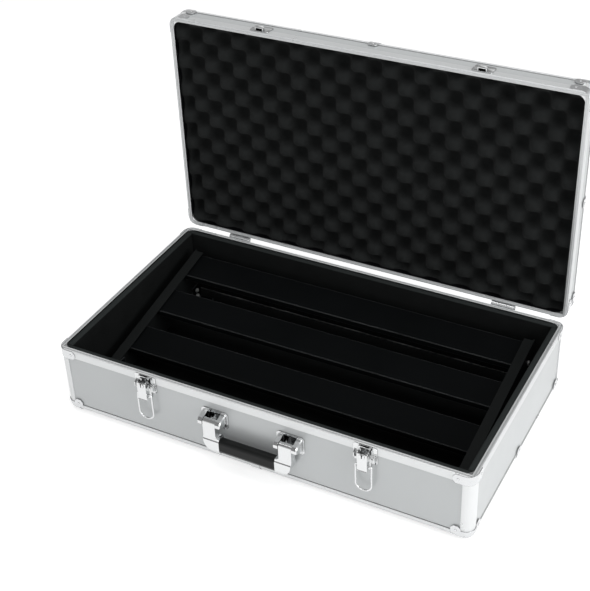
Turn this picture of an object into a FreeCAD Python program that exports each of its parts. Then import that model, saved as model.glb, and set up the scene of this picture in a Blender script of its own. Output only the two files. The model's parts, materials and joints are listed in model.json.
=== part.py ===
import FreeCAD, Part
import math
import os

# Pedal case with a hinged lid, two key latches, a folding handle and a tilted
# board of slats inside. Millimetres, +Z up, +X along the front, -Y to the front.
# The origin is the centre of the bottom panel's outer face. The lid stands open.

os.makedirs("parts", exist_ok=True)
Vec = FreeCAD.Vector

# The case
case_length = 640.0
case_depth = 360.0
base_height = 115.0
lid_height = 45.0
seam_gap = 0.3
lid_open_degrees = 90.0

# Panels and the extruded profiles that hold them
panel_thickness = 4.0
panel_corner_cut = 5.0
lip = 1.0
edge_leg = 15.0
edge_radius = 14.0
post_leg = 16.0
post_radius = 14.0
slot_depth = 6.0
rim_flange = 12.5
rim_bridge = 2.5
rim_inner_lip = 8.0
rim_round = 0.8
groove_width = 2.0
groove_depth = 1.5
tongue_clearance = 0.35

# Pressed sheet corners, clips and rivets
cap_sheet = 1.0
cap_core = 16.0
cap_core_height = 18.0
cap_edge_cut = 10.0
cap_upright_cut = 10.0
cap_corner_cut = 18.0
cap_lobe_reach = 22.0
cap_lobe_height = 17.5
cap_lobe_radius = 8.0
rim_corner_leg = 22.0
rim_corner_drop = 2.5
rim_corner_gap = 0.5
clip_width = 15.0
clip_leg = 22.0
clip_cut = 3.0
rivet_radius = 2.0
rivet_head = 0.8

# Lining, mat and foam
lining_thickness = 8.0
lining_drop = 3.0
mat_thickness = 3.0
soft_clearance = 0.3
foam_drop = 4.0
foam_pitch_x = 48.8
foam_pitch_y = 46.4
foam_shift_x = 9.1
foam_shift_y = 9.8
foam_wave_depth = 20.0

# Feet
foot_height = 4.0
foot_radius = 10.0
foot_inset = 45.0

# Hinges
hinge_inset = 96.0
hinge_width = 36.0
hinge_leaf = 26.0
hinge_sheet = 1.5
hinge_offset = 4.0
hinge_running_gap = 0.3
hinge_pin_radius = 1.5
hinge_pin_head = 2.6
hinge_pin_head_length = 1.2
hinge_knuckles = 3
hinge_hole_inset = 8.0
hinge_stop_reach = 9.0
hinge_stop_thickness = 2.2
pin_clearance = 0.05

# Latches
latch_place = 170.0
latch_width = 34.5
latch_tail_width = 16.0
latch_top = 0.2
latch_wing_bottom = 29.0
latch_bottom = 41.0
latch_sheet = 1.2
latch_cut = 2.0
guard_gap = 13.8
guard_top = 9.0
guard_bottom = 25.0
guard_height = 6.5
guard_slope = 4.5
hood_width = 16.0
hood_height = 5.0
hood_length = 4.3
hood_slot_width = 12.0
hood_slot_height = 2.6
hood_slot_depth = 3.0
lever_width = 14.5
lever_sheet = 1.2
lever_pivot_drop = 9.5
lever_pivot_out = 7.8
lever_front = 4.0
lever_web_rise = 2.0
lever_end = 34.5
lever_flange_end = 33.5
lever_curl_radius = 2.0
lever_curl_degrees = 60.0
lever_pin_radius = 1.25
lever_pin_head = 2.2
lever_pin_head_length = 0.7
ear_gap = 4.8
ear_radius = 2.4
ear_root_top = 13.0
ear_root_bottom = 24.0
bail_pivot_drop = 30.0
bail_pivot_out = 6.5
bail_wire_radius = 1.5
bail_half_width = 11.6
bail_length = 44.0
bail_end_round = 11.0
bail_shoulder = 2.6
bail_seat = 2.8
bail_end_gap = 0.7
bend_steps = 3
lock_drop = 11.5
lock_head_radius = 4.0
lock_head_length = 1.0
lock_stem_radius = 3.2
lock_stem_length = 5.5
lock_cam_reach = 5.0
lock_cam_width = 4.0
lock_cam_thickness = 1.2
key_slot_width = 1.4
key_slot_length = 5.0
key_slot_depth = 1.8

# Keepers on the lid
keeper_width = 30.0
keeper_bottom = 3.0
keeper_top = 24.0
keeper_bridge_width = 13.0
keeper_bridge_bottom = 5.0
keeper_bridge_out = 5.5
keeper_bridge_cut = 2.0
keeper_bail_gap = 0.3

# Handle
handle_spacing = 118.0
bracket_width = 42.0
bracket_height = 29.0
bracket_sheet = 1.6
bracket_centre_drop = 38.5
bracket_cut = 3.5
cheek_gap = 10.2
cheek_thickness = 7.8
cheek_radius = 6.2
cheek_root_inset = 3.0
cheek_cut = 1.2
handle_pivot_out = 13.5
handle_pivot_rise = 2.0
handle_pin_radius = 2.2
handle_side_gap = 0.4
arm_depth = 11.0
arm_flare_top = 21.0
arm_flare_bottom = 25.0
arm_collar = 1.0
arm_bend_radius = 18.0
arm_inner_round = 4.0
arm_collar_reach = 14.5
arm_socket = 5.0
grip_height = 25.0
grip_depth = 14.0
grip_chamfer = 4.0
grip_low_chamfer = 7.0
grip_drop = 36.0
grip_forward = 0.3

# Board of slats on two side rails
board_degrees = 10.0
board_front_height = 38.0
board_side_gap = 19.0
board_front_gap = 6.0
board_rear_gap = 19.0
slat_count = 4
slat_width = 50.0
slat_front_inset = 3.0
slat_rear_inset = 3.7
slat_sheet = 2.0
slat_lip = 10.0
slat_fold = 0.8
slat_tab_width = 34.0
slat_tab_height = 24.0
slat_screw_drop = 15.0
rail_flange = 15.0
rail_sheet = 2.0
rail_rise = 5.0
rail_nose_round = 12.0
bracket_leg = 25.0
bracket_leg_height = 29.0
bracket_length = 25.0
bracket_end_inset = 3.0
slat_gap_inset = 4.0
bracket_screw_low = 9.0
bracket_screw_high = 20.0
screw_radius = 2.0
screw_head_radius = 4.0
screw_head_length = 2.4
screw_tip = 2.0
screw_clearance = 0.05

overrun = 5.0
flats = 8
fastener_flats = 6
bore_flats = 12
barrel_flats = 16

# Worked out from the sizes above
profile_width = lip + panel_thickness + lip
half_length = case_length / 2
half_depth = case_depth / 2
base_bottom = -lip
seam = base_bottom + base_height
lid_bottom = seam + seam_gap
lid_top = lid_bottom + lid_height
hinge_y = half_depth + hinge_offset
hinge_z = seam + seam_gap / 2
hinge_place = half_length - hinge_inset
mat_top = panel_thickness + mat_thickness
room_x = half_length - profile_width - lining_thickness
room_y = half_depth - profile_width - lining_thickness
rail_gap = room_x - board_side_gap - rail_flange
rail_web = rail_gap + rail_flange - rail_sheet
rail_front = room_y - board_front_gap
rail_rear = room_y - board_rear_gap
board_front = rail_front - slat_front_inset
front_face = -half_depth
ALONG_X = Vec(1, 0, 0)
ALONG_Y = Vec(0, 1, 0)
ALONG_Z = Vec(0, 0, 1)
HERE = Vec(0, 0, 0)

parts = {}


def save(name, *shapes):
    """Keep one node: one or more separate solids."""
    solids = []
    for shape in shapes:
        solids.extend(shape.removeSplitter().Solids)
    parts[name] = solids[0] if len(solids) == 1 else Part.makeCompound(solids)


def block(x0, x1, y0, y1, z0, z1):
    """A box between two corners."""
    return Part.makeBox(x1 - x0, y1 - y0, z1 - z0, Vec(x0, y0, z0))


def rod(radius, length, start, direction):
    """A round bar from a point."""
    return Part.makeCylinder(radius, length, start, direction)


def flat_sided(radius, length, start, direction, around=False, sides=flats):
    """A small bar with flats, inside its radius or, for a hole, around it."""
    reach = radius / math.cos(math.pi / sides) if around else radius
    side = Vec(direction.y, direction.z, direction.x).cross(direction).normalize()
    other = direction.cross(side)
    corners = []
    for i in range(sides):
        a = math.pi * (2 * i + 1) / sides
        corners.append(start + side * (reach * math.cos(a)) + other * (reach * math.sin(a)))
    return face_of(corners).extrude(direction * length)


def face_of(points):
    """A flat face through corner points; an entry of two points is an arc's middle and end."""
    edges = []
    last = points[0]
    for entry in points[1:]:
        if isinstance(entry, tuple):
            edges.append(Part.Arc(last, entry[0], entry[1]).toShape())
            last = entry[1]
        else:
            edges.append(Part.LineSegment(last, entry).toShape())
            last = entry
    if last.distanceToPoint(points[0]) > 0:
        edges.append(Part.LineSegment(last, points[0]).toShape())
    return Part.Face(Part.Wire(edges))


def along_x(points, x0, x1):
    """Extrude an outline given as (y, z) points from x0 to x1."""
    def lift(p):
        return Vec(x0, p[0], p[1])
    lifted = []
    for entry in points:
        if len(entry) == 2 and isinstance(entry[0], tuple):
            lifted.append((lift(entry[0]), lift(entry[1])))
        else:
            lifted.append(lift(entry))
    return face_of(lifted).extrude(Vec(x1 - x0, 0, 0))


def clipped_plate(x0, x1, z0, z1, y0, y1, cut):
    """A plate across Y with its corners cut off."""
    points = [Vec(x0 + cut, y0, z0), Vec(x1 - cut, y0, z0), Vec(x1, y0, z0 + cut), Vec(x1, y0, z1 - cut)]
    points += [Vec(x1 - cut, y0, z1), Vec(x0 + cut, y0, z1), Vec(x0, y0, z1 - cut), Vec(x0, y0, z0 + cut)]
    return face_of(points).extrude(Vec(0, y1 - y0, 0))


def fuse(first, *others):
    """Join solids into one."""
    return first.multiFuse(list(others)).removeSplitter()


def moved(shape, x=0.0, y=0.0, z=0.0):
    """A moved copy."""
    copy = shape.copy()
    copy.translate(Vec(x, y, z))
    return copy


def mirrored_x(shape):
    """The same shape on the other side of the middle."""
    return shape.mirror(HERE, ALONG_X)


def four_corners(shape):
    """A right rear corner piece repeated at all four corners."""
    right = [shape, shape.mirror(HERE, ALONG_Y)]
    return right + [mirrored_x(s) for s in right]


def tray_to_base(shape):
    """Trays are built floor down with their outer bottom at zero."""
    return moved(shape, z=base_bottom)


def close_to_open(shape):
    """Swing a piece of the closed lid to its open place."""
    copy = shape.copy()
    copy.rotate(Vec(0, hinge_y, hinge_z), -ALONG_X, lid_open_degrees)
    return copy


def tray_to_lid(shape):
    """Turn a tray upside down to be the closed lid, then open it."""
    copy = shape.copy()
    copy.rotate(HERE, ALONG_X, 180)
    return close_to_open(moved(copy, z=lid_top))


# Trays: the base and the lid are the same kind of framed box

def envelope(height, grow):
    """The outside of a tray, with its rounded corners and bottom edges."""
    body = block(-half_length - grow, half_length + grow, -half_depth - grow, half_depth + grow, -grow, height)
    uprights = [e for e in body.Edges if abs(e.tangentAt(0).z) > math.cos(math.radians(1))]
    body = body.makeFillet(post_radius + grow, uprights)
    low = [e for e in body.Edges if e.BoundBox.ZMax < -grow + lip / 2]
    return body.makeFillet(edge_radius + grow, low)


def plan_ring(z0, z1, grow):
    """The rounded outline of the case as an upright prism."""
    body = block(-half_length - grow, half_length + grow, -half_depth - grow, half_depth + grow, z0, z1)
    uprights = [e for e in body.Edges if abs(e.tangentAt(0).z) > math.cos(math.radians(1))]
    return body.makeFillet(post_radius + grow, uprights)


def mitre(side, z0, z1, outside):
    """The wedge of the plan that one side of the rim fills, between its two mitres."""
    long_side = side in ("front", "back")
    a = half_length if long_side else half_depth
    b = half_depth if long_side else half_length
    w = post_leg
    points = [Vec(-a, -b, z0), Vec(a, -b, z0), Vec(a - w, -b + w, z0), Vec(-a + w, -b + w, z0)]
    wedge = face_of(points).extrude(Vec(0, 0, z1 - z0))
    return turned_to(side, wedge).common(outside)


def turned_to(side, shape):
    """Turn a piece made for the front to another side."""
    turns = {"front": 0, "right": 90, "back": 180, "left": 270}
    copy = shape.copy()
    copy.rotate(HERE, ALONG_Z, turns[side])
    return copy


def frame_bar(side, outline, cut_back):
    """A straight length of profile on one side, its ends cut back from the corner. Outline is (inward, up)."""
    long_side = side in ("front", "back")
    reach = (half_length if long_side else half_depth) - cut_back
    depth = half_depth if long_side else half_length

    def place(p):
        return (p[0] - depth, p[1])
    points = []
    for entry in outline:
        if isinstance(entry[0], tuple):
            points.append((place(entry[0]), place(entry[1])))
        else:
            points.append(place(entry))
    return turned_to(side, along_x(points, -reach, reach))


def edge_outline():
    """Section of the bottom edge: a rounded corner with a slot for each panel."""
    r = edge_radius
    mid = r - r * math.cos(math.radians(45))
    w = profile_width
    near = lip
    far = lip + panel_thickness
    root = edge_leg - slot_depth
    return [
        (0.0, edge_leg), (0.0, r), ((mid, mid), (r, 0.0)), (edge_leg, 0.0), (edge_leg, near), (root, near),
        (root, far), (edge_leg, far), (edge_leg, w), (w, w), (w, edge_leg), (far, edge_leg), (far, root),
        (near, root), (near, edge_leg),
    ]


def rim_outline(height, tongue):
    """Section of the rim: a cap over the panel's edge, with a groove or a tongue on top."""
    w = profile_width
    far = lip + panel_thickness
    under = height - rim_bridge
    c = w / 2
    g = groove_width / 2
    if tongue:
        g = g - tongue_clearance
        step = groove_depth - tongue_clearance
    else:
        step = -groove_depth
    bend = rim_round * math.cos(math.radians(45))
    outer_mid = (rim_round - bend, height - rim_round + bend)
    return [
        (0.0, height - rim_flange), (0.0, height - rim_round), (outer_mid, (rim_round, height)),
        (c - g, height), (c - g, height + step), (c + g, height + step), (c + g, height),
        (w, height), (w, height - rim_inner_lip), (far, height - rim_inner_lip), (far, under),
        (lip, under), (lip, height - rim_flange),
    ]


def post(height):
    """Upright corner profile with two panel slots, at the right rear corner."""
    r = post_radius
    mid = r - r * math.cos(math.radians(45))
    w = profile_width
    far = lip + panel_thickness
    root = post_leg - slot_depth
    outline = [
        (0.0, post_leg), (0.0, r), ((mid, mid), (r, 0.0)), (post_leg, 0.0), (post_leg, lip), (root, lip),
        (root, far), (post_leg, far), (post_leg, w), (w, w), (w, post_leg), (far, post_leg), (far, root),
        (lip, root), (lip, post_leg),
    ]
    z0 = edge_radius
    points = []
    for entry in outline:
        if isinstance(entry[0], tuple):
            points.append(tuple(Vec(half_length - p[0], half_depth - p[1], z0) for p in entry))
        else:
            points.append(Vec(half_length - entry[0], half_depth - entry[1], z0))
    return face_of(points).extrude(Vec(0, 0, height - rim_flange - z0))


def flat_panel(x, y, z0, z1):
    """The large panel, its corners cut off to clear the rounded corners of the case."""
    c = panel_corner_cut
    points = [Vec(c - x, -y, z0), Vec(x - c, -y, z0), Vec(x, c - y, z0), Vec(x, y - c, z0)]
    points += [Vec(x - c, y, z0), Vec(c - x, y, z0), Vec(-x, y - c, z0), Vec(-x, c - y, z0)]
    return face_of(points).extrude(Vec(0, 0, z1 - z0))


def panels(height):
    """The five panels of a tray, from slot root to slot root."""
    x = half_length - post_leg + slot_depth
    y = half_depth - post_leg + slot_depth
    near = lip
    far = lip + panel_thickness
    z0 = edge_leg - slot_depth
    z1 = height - rim_bridge
    flat = edge_leg - slot_depth
    return {
        "front": block(-x, x, -half_depth + near, -half_depth + far, z0, z1),
        "back": block(-x, x, half_depth - far, half_depth - near, z0, z1),
        "left": block(-half_length + near, -half_length + far, -y, y, z0, z1),
        "right": block(half_length - far, half_length - near, -y, y, z0, z1),
        "flat": flat_panel(half_length - flat, half_depth - flat, near, far),
    }


def cap_inside():
    """What fills a bottom corner inside its cap: two edge bars' ends, the post and a cut off core."""
    r = edge_radius
    mid = r - r * math.cos(math.radians(45))
    far = half_length / 2
    round_end = [(half_depth, edge_leg), (half_depth, r), ((half_depth - mid, mid), (half_depth - r, 0.0)),
                 (0.0, 0.0), (0.0, edge_leg)]
    along = along_x(round_end, far, half_length - post_leg)
    round_end = [(half_length, edge_leg), (half_length, r), ((half_length - mid, mid), (half_length - r, 0.0)),
                 (far, 0.0), (far, edge_leg)]
    across = along_x(round_end, 0.0, half_depth - post_leg)
    across.rotate(HERE, ALONG_Z, 90)
    across = across.mirror(HERE, ALONG_X)
    upright = plan_ring(edge_radius, edge_leg + cap_lobe_reach, 0.0)
    x0 = half_length - post_leg
    y0 = half_depth - post_leg
    core = block(x0, half_length, y0, half_depth, 0.0, edge_leg)

    def at(x, y, z):
        return Vec(half_length - x, half_depth - y, z)
    e = cap_edge_cut
    u = cap_upright_cut
    c = cap_corner_cut
    n = -overrun
    d = post_leg + overrun
    core = core.cut(face_of([at(n, n, n), at(u - n, n, n), at(n, u - n, n)]).extrude(Vec(0, 0, d)))
    core = core.cut(face_of([at(n, n, n), at(n, e - n, n), at(n, n, e - n)]).extrude(Vec(-d - overrun, 0, 0)))
    core = core.cut(face_of([at(n, n, n), at(e - n, n, n), at(n, n, e - n)]).extrude(Vec(0, -d - overrun, 0)))
    tip = [at(0, 0, 0), at(c, 0, 0), at(0, c, 0), at(0, 0, c)]
    sides = [face_of([tip[i], tip[j], tip[k]]) for i, j, k in ((0, 1, 2), (0, 1, 3), (0, 2, 3), (1, 2, 3))]
    core = core.cut(Part.makeSolid(Part.makeShell(sides)))
    return fuse(core, along, across, upright)


def corner_cap():
    """Three lobed pressed corner over the bottom corner, at the right rear."""
    core = block(half_length - cap_core, half_length + overrun, half_depth - cap_core, half_depth + overrun,
                 -overrun, cap_core_height)
    x = half_length - cap_lobe_reach
    y = half_depth - cap_lobe_reach
    deep = cap_sheet + cap_core
    lobes = [
        flat_sided(cap_lobe_radius, deep, Vec(x, half_depth + cap_sheet, cap_lobe_height), -ALONG_Y),
        flat_sided(cap_lobe_radius, deep, Vec(half_length + cap_sheet, y, cap_lobe_height), -ALONG_X),
        flat_sided(cap_lobe_radius, cap_sheet + cap_core_height, Vec(x, y, -cap_sheet), ALONG_Z),
    ]
    webs = [
        block(x, half_length + overrun, half_depth - cap_core, half_depth + overrun, -overrun, cap_core_height),
        block(half_length - cap_core, half_length + overrun, y, half_depth + overrun, -overrun, cap_core_height),
    ]
    stamp = fuse(core, *(lobes + webs))
    skin_height = cap_lobe_height + cap_lobe_radius + overrun
    return envelope(skin_height, cap_sheet).common(stamp).cut(cap_inside())


def rim_corner(height):
    """Pressed corner brace over the rim, with a round end on each leg, at the right rear."""
    z1 = height - rim_corner_gap
    z0 = height - rim_flange - rim_corner_drop
    zc = (z0 + z1) / 2
    r = (z1 - z0) / 2
    band = plan_ring(z0, z1, cap_sheet).cut(plan_ring(z0 - overrun, z1 + overrun, 0.0))
    x = half_length - rim_corner_leg
    y = half_depth - rim_corner_leg
    deep = cap_sheet + post_radius
    stamp = fuse(
        block(x, half_length + overrun, y, half_depth + overrun, z0, z1),
        flat_sided(r, deep, Vec(x, half_depth + cap_sheet, zc), -ALONG_Y, True),
        flat_sided(r, deep, Vec(half_length + cap_sheet, y, zc), -ALONG_X, True),
    )
    inner = block(-half_length, half_length - post_radius - rim_corner_leg, -half_depth, half_depth, z0, z1)
    return band.common(stamp).cut(inner)


def clip(side, skin):
    """Pressed clip round the bottom edge at the middle of one side."""
    wide = clip_width / 2
    depth = half_depth if side in ("front", "back") else half_length
    stamp = clipped_plate(-wide, wide, -overrun, clip_leg, -depth - overrun, -depth + edge_leg, clip_cut)
    flat = block(-wide, wide, -depth - overrun, -depth + clip_leg, -overrun, edge_radius)
    return skin.common(turned_to(side, fuse(stamp, flat)))


def rivet(at, outward):
    """A low rivet head seated on a face."""
    return flat_sided(rivet_radius, rivet_head, at, outward, sides=fastener_flats)


def tray_rivets(height):
    """Rivet heads on the corner caps, rim corners and clips of a tray."""
    heads = []
    z_rim = height - (rim_flange + rim_corner_drop + rim_corner_gap) / 2
    x = half_length - cap_lobe_reach
    y = half_depth - cap_lobe_reach
    for sx in (-1, 1):
        for sy in (-1, 1):
            out_y = Vec(0, sy, 0)
            out_x = Vec(sx, 0, 0)
            face_y = sy * (half_depth + cap_sheet)
            face_x = sx * (half_length + cap_sheet)
            heads.append(rivet(Vec(sx * x, face_y, cap_lobe_height), out_y))
            heads.append(rivet(Vec(face_x, sy * y, cap_lobe_height), out_x))
            heads.append(rivet(Vec(sx * (half_length - rim_corner_leg), face_y, z_rim), out_y))
            heads.append(rivet(Vec(face_x, sy * (half_depth - rim_corner_leg), z_rim), out_x))
    high = clip_leg - clip_cut - rivet_radius
    for s in (-1, 1):
        heads.append(rivet(Vec(0, s * (half_depth + cap_sheet), high), Vec(0, s, 0)))
        heads.append(rivet(Vec(s * (half_length + cap_sheet), 0, high), Vec(s, 0, 0)))
    return heads


SIDES = ("front", "back", "left", "right")


def make_tray(name, height, tongue, place):
    """Save every framed piece of the base or the lid."""
    boards = panels(height)
    for side in SIDES:
        label = side
        if name == "lid" and side in ("front", "back"):
            label = "back" if side == "front" else "front"
        save(name + "_panel_" + label, place(boards[side]))
    save(name + ("_panel_top" if name == "lid" else "_panel_bottom"), place(boards["flat"]))
    edges = {s: frame_bar(s, edge_outline(), post_leg) for s in SIDES}
    lip_low = height - rim_flange
    lip_high = height + groove_depth
    outside = plan_ring(lip_low, lip_high, 0.0)
    rims = {}
    for side in SIDES:
        bar = frame_bar(side, rim_outline(height, tongue), 0.0)
        rims[side] = bar.common(mitre(side, lip_low, lip_high, outside))
    save(name + "_edges_long", place(edges["front"]), place(edges["back"]))
    save(name + "_edges_short", place(edges["left"]), place(edges["right"]))
    save(name + "_rims_long", place(rims["front"]), place(rims["back"]))
    save(name + "_rims_short", place(rims["left"]), place(rims["right"]))
    save(name + "_corner_posts", *[place(p) for p in four_corners(post(height))])
    skin_height = cap_lobe_height + cap_lobe_radius + overrun
    skin = envelope(skin_height, cap_sheet).cut(envelope(skin_height + overrun, 0.0))
    save(name + "_corner_caps", *[place(c) for c in four_corners(corner_cap())])
    save(name + "_edge_clips", *[place(clip(s, skin)) for s in SIDES])
    save(name + "_rim_corners", *[place(c) for c in four_corners(rim_corner(height))])
    save(name + "_rivets", *[place(r) for r in tray_rivets(height)])


# Soft linings

def make_linings():
    """Four wall pads and a floor mat in the base."""
    x = half_length - profile_width
    y = half_depth - profile_width
    t = lining_thickness
    z0 = base_bottom + profile_width
    z1 = seam - lining_drop
    save("lining_front", block(-x, x, -y, -y + t, z0, z1))
    save("lining_back", block(-x, x, y - t, y, z0, z1))
    side = block(x - t, x, -y + t, y - t, z0, z1)
    save("lining_sides", mirrored_x(side), side)


def floor_mat():
    """The mat on the bottom panel, with holes for the board's screws."""
    x = half_length - edge_leg - soft_clearance
    y = half_depth - edge_leg - soft_clearance
    return block(-x, x, -y, y, panel_thickness, mat_top)


def make_foam():
    """Egg-crate foam in the closed lid: peaks and hollows over its lower face, cut to fit the lid."""
    x = half_length - profile_width - soft_clearance
    y = half_depth - profile_width - soft_clearance
    top = lid_top - profile_width - soft_clearance
    peak = lid_bottom + foam_drop
    hollow = peak + foam_wave_depth
    wide = foam_pitch_x / 2
    long = foam_pitch_y / 2
    left = math.floor((-x - foam_shift_x) / wide)
    right = math.ceil((x - foam_shift_x) / wide)
    near = math.floor((-y - foam_shift_y) / long)
    rear = math.ceil((y - foam_shift_y) / long)

    def lattice(i, j):
        return Vec(foam_shift_x + i * wide, foam_shift_y + j * long, peak if (i + j) % 2 == 0 else hollow)

    def cell(i, j):
        """Four slopes that meet halfway up in the middle of a cell."""
        ring = [lattice(i, j), lattice(i + 1, j), lattice(i + 1, j + 1), lattice(i, j + 1)]
        middle = (ring[0] + ring[1] + ring[2] + ring[3]) * (1 / len(ring))
        return [face_of([ring[k], ring[(k + 1) % len(ring)], middle]) for k in range(len(ring))]

    def raised(point):
        return Vec(point.x, point.y, top)

    def wall(points):
        """A side of the sheet above the waves' edge."""
        return face_of(points + [raised(points[-1]), raised(points[0])])
    faces = [wall([lattice(i, j) for i in range(left, right + 1)]) for j in (near, rear)]
    faces += [wall([lattice(i, j) for j in range(near, rear + 1)]) for i in (left, right)]
    ends = [lattice(left, near), lattice(right, near), lattice(right, rear), lattice(left, rear)]
    faces.append(face_of([raised(p) for p in ends]))
    for i in range(left, right):
        for j in range(near, rear):
            faces.extend(cell(i, j))
    sheet = Part.makeShell(faces)
    sheet.sewShape()
    block_cut = block(-x, x, -y, y, lid_bottom, top)
    parts["lid_foam"] = close_to_open(Part.makeSolid(sheet).common(block_cut).Solids[0])


def make_feet():
    """Four low rubber feet under the bottom panel."""
    feet = []
    for sx in (-1, 1):
        for sy in (-1, 1):
            at = Vec(sx * (half_length - foot_inset), sy * (half_depth - foot_inset), 0)
            feet.append(flat_sided(foot_radius, foot_height, at, -ALONG_Z, sides=barrel_flats))
    save("feet", *feet)


# Hinges

def hinge_leaf_shape(own, upward):
    """One leaf with its knuckles at the closed seam, its plate on the rear rim. Own is 0 or 1."""
    s = 1 if upward else -1
    r = hinge_offset - hinge_running_gap
    half = hinge_width / 2
    y0 = half_depth
    y1 = half_depth + hinge_sheet
    z_near = hinge_z + s * (r + hinge_running_gap)
    z_far = hinge_z + s * hinge_leaf
    plate = clipped_plate(-half, half, min(z_near, z_far), max(z_near, z_far), y0, y1, hinge_sheet)
    step = hinge_width / hinge_knuckles
    pieces = []
    for i in range(hinge_knuckles):
        if i % 2 != own:
            continue
        x0 = -half + i * step + (hinge_running_gap / 2 if i > 0 else 0.0)
        x1 = -half + (i + 1) * step - (hinge_running_gap / 2 if i < hinge_knuckles - 1 else 0.0)
        barrel = flat_sided(r, x1 - x0, Vec(x0, hinge_y, hinge_z), ALONG_X, sides=barrel_flats)
        neck = block(x0, x1, y0 + hinge_running_gap, y1, min(hinge_z, z_near + s * lip), max(hinge_z, z_near + s * lip))
        pieces.append(fuse(barrel, neck))
        if upward:
            stop_face = hinge_z + half_depth + hinge_sheet - hinge_y
            stop_end = hinge_y + hinge_stop_reach
            pieces.append(block(x0, x1, hinge_y, stop_end, stop_face, stop_face + hinge_stop_thickness))
    leaf = fuse(plate, *pieces)
    bore = flat_sided(hinge_pin_radius + pin_clearance, hinge_width + 2 * overrun,
                      Vec(-half - overrun, hinge_y, hinge_z), ALONG_X, True)
    return leaf.cut(bore)


def make_hinges():
    """Two hinges: leaves on the base and lid, and their headed pins."""
    base_leaf = hinge_leaf_shape(0, False)
    lid_leaf = hinge_leaf_shape(1, True)
    half = hinge_width / 2
    pin = fuse(
        flat_sided(hinge_pin_radius, hinge_width, Vec(-half, hinge_y, hinge_z), ALONG_X),
        flat_sided(hinge_pin_head, hinge_pin_head_length, Vec(half, hinge_y, hinge_z), ALONG_X),
    )
    places = (-hinge_place, hinge_place)
    save("hinge_base_leaves", *[moved(base_leaf, x=p) for p in places])
    save("hinge_lid_leaves", *[close_to_open(moved(lid_leaf, x=p)) for p in places])
    save("hinge_pins", *[moved(pin, x=p) for p in places])
    heads_low = []
    heads_high = []
    y = half_depth + hinge_sheet
    for p in places:
        for sx in (-1, 1):
            x = p + sx * (half - hinge_hole_inset)
            z = hinge_leaf - hinge_hole_inset
            heads_low.append(rivet(Vec(x, y, hinge_z - z), ALONG_Y))
            heads_high.append(close_to_open(rivet(Vec(x, y, hinge_z + z), ALONG_Y)))
    return heads_low, heads_high


# Latches. Local sizes: out is forward from the rim's front, drop is down from the seam.

def front_point(out, drop):
    """A (y, z) point in front of the case."""
    return (front_face - out, seam - drop)


def joggled_sheet(half, top, bottom, sheet):
    """A plate that lies on the rim's flange and steps back on to the panel beyond it."""
    step = rim_flange + sheet + seam_gap
    s = 1 if bottom > top else -1
    points = [
        front_point(0.0, top), front_point(sheet, top), front_point(sheet, s * step),
        front_point(sheet - lip, s * (step + lip)), front_point(sheet - lip, bottom),
        front_point(-lip, bottom), front_point(-lip, s * step), front_point(0.0, s * (step - lip)),
    ]
    return along_x(points, -half, half)


def plate_outline(pieces):
    """Join upright rounded plates into one stamp that reaches across the sheet."""
    stamps = []
    for half, top, bottom in pieces:
        z0 = min(seam - bottom, seam - top)
        z1 = max(seam - bottom, seam - top)
        stamps.append(clipped_plate(-half, half, z0, z1, front_face - overrun, front_face + overrun, latch_cut))
    return stamps[0] if len(stamps) == 1 else fuse(stamps[0], *stamps[1:])


def latch_plate():
    """Back plate with two inner ears for the lever, two outer guards and a slotted hood."""
    half = latch_width / 2
    sheet = joggled_sheet(half, latch_top, latch_bottom, latch_sheet)
    tail = latch_tail_width / 2
    stamp = plate_outline([(half, latch_top, latch_wing_bottom), (tail, latch_top, latch_bottom)])
    plate = sheet.common(stamp)
    root = (latch_sheet - lip) / 2
    tip = ear_radius / 2
    ear_points = [
        front_point(root, ear_root_top),
        front_point(lever_pivot_out - tip, lever_pivot_drop - ear_radius),
        front_point(lever_pivot_out + tip, lever_pivot_drop - ear_radius),
        front_point(lever_pivot_out + ear_radius, lever_pivot_drop - tip),
        front_point(lever_pivot_out + ear_radius, lever_pivot_drop + tip),
        front_point(lever_pivot_out + tip, lever_pivot_drop + ear_radius),
        front_point(root, ear_root_bottom),
    ]
    guard_points = [
        front_point(root, guard_top), front_point(guard_height, guard_top + guard_slope),
        front_point(guard_height, guard_bottom - guard_slope), front_point(root, guard_bottom),
    ]
    pieces = []
    for s in (-1, 1):
        for points, inner in ((ear_points, ear_gap), (guard_points, guard_gap)):
            x0 = s * inner
            x1 = s * (inner + latch_sheet)
            pieces.append(along_x(points, min(x0, x1), max(x0, x1)))
    y_hood = front_face - hood_height
    z_top = seam - latch_top
    hood = block(-hood_width / 2, hood_width / 2, y_hood, front_face, z_top - hood_length, z_top)
    plate = fuse(plate, hood, *pieces)
    slot_y = front_face - latch_sheet - (hood_height - latch_sheet - hood_slot_height) / 2
    slot = block(-hood_slot_width / 2, hood_slot_width / 2, slot_y - hood_slot_height, slot_y,
                 z_top - hood_slot_depth, z_top + overrun)
    y, z = front_point(lever_pivot_out, lever_pivot_drop)
    bore = flat_sided(lever_pin_radius + pin_clearance, latch_width, Vec(-half, y, z), ALONG_X, True)
    return plate.cut(slot).cut(bore)


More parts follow.
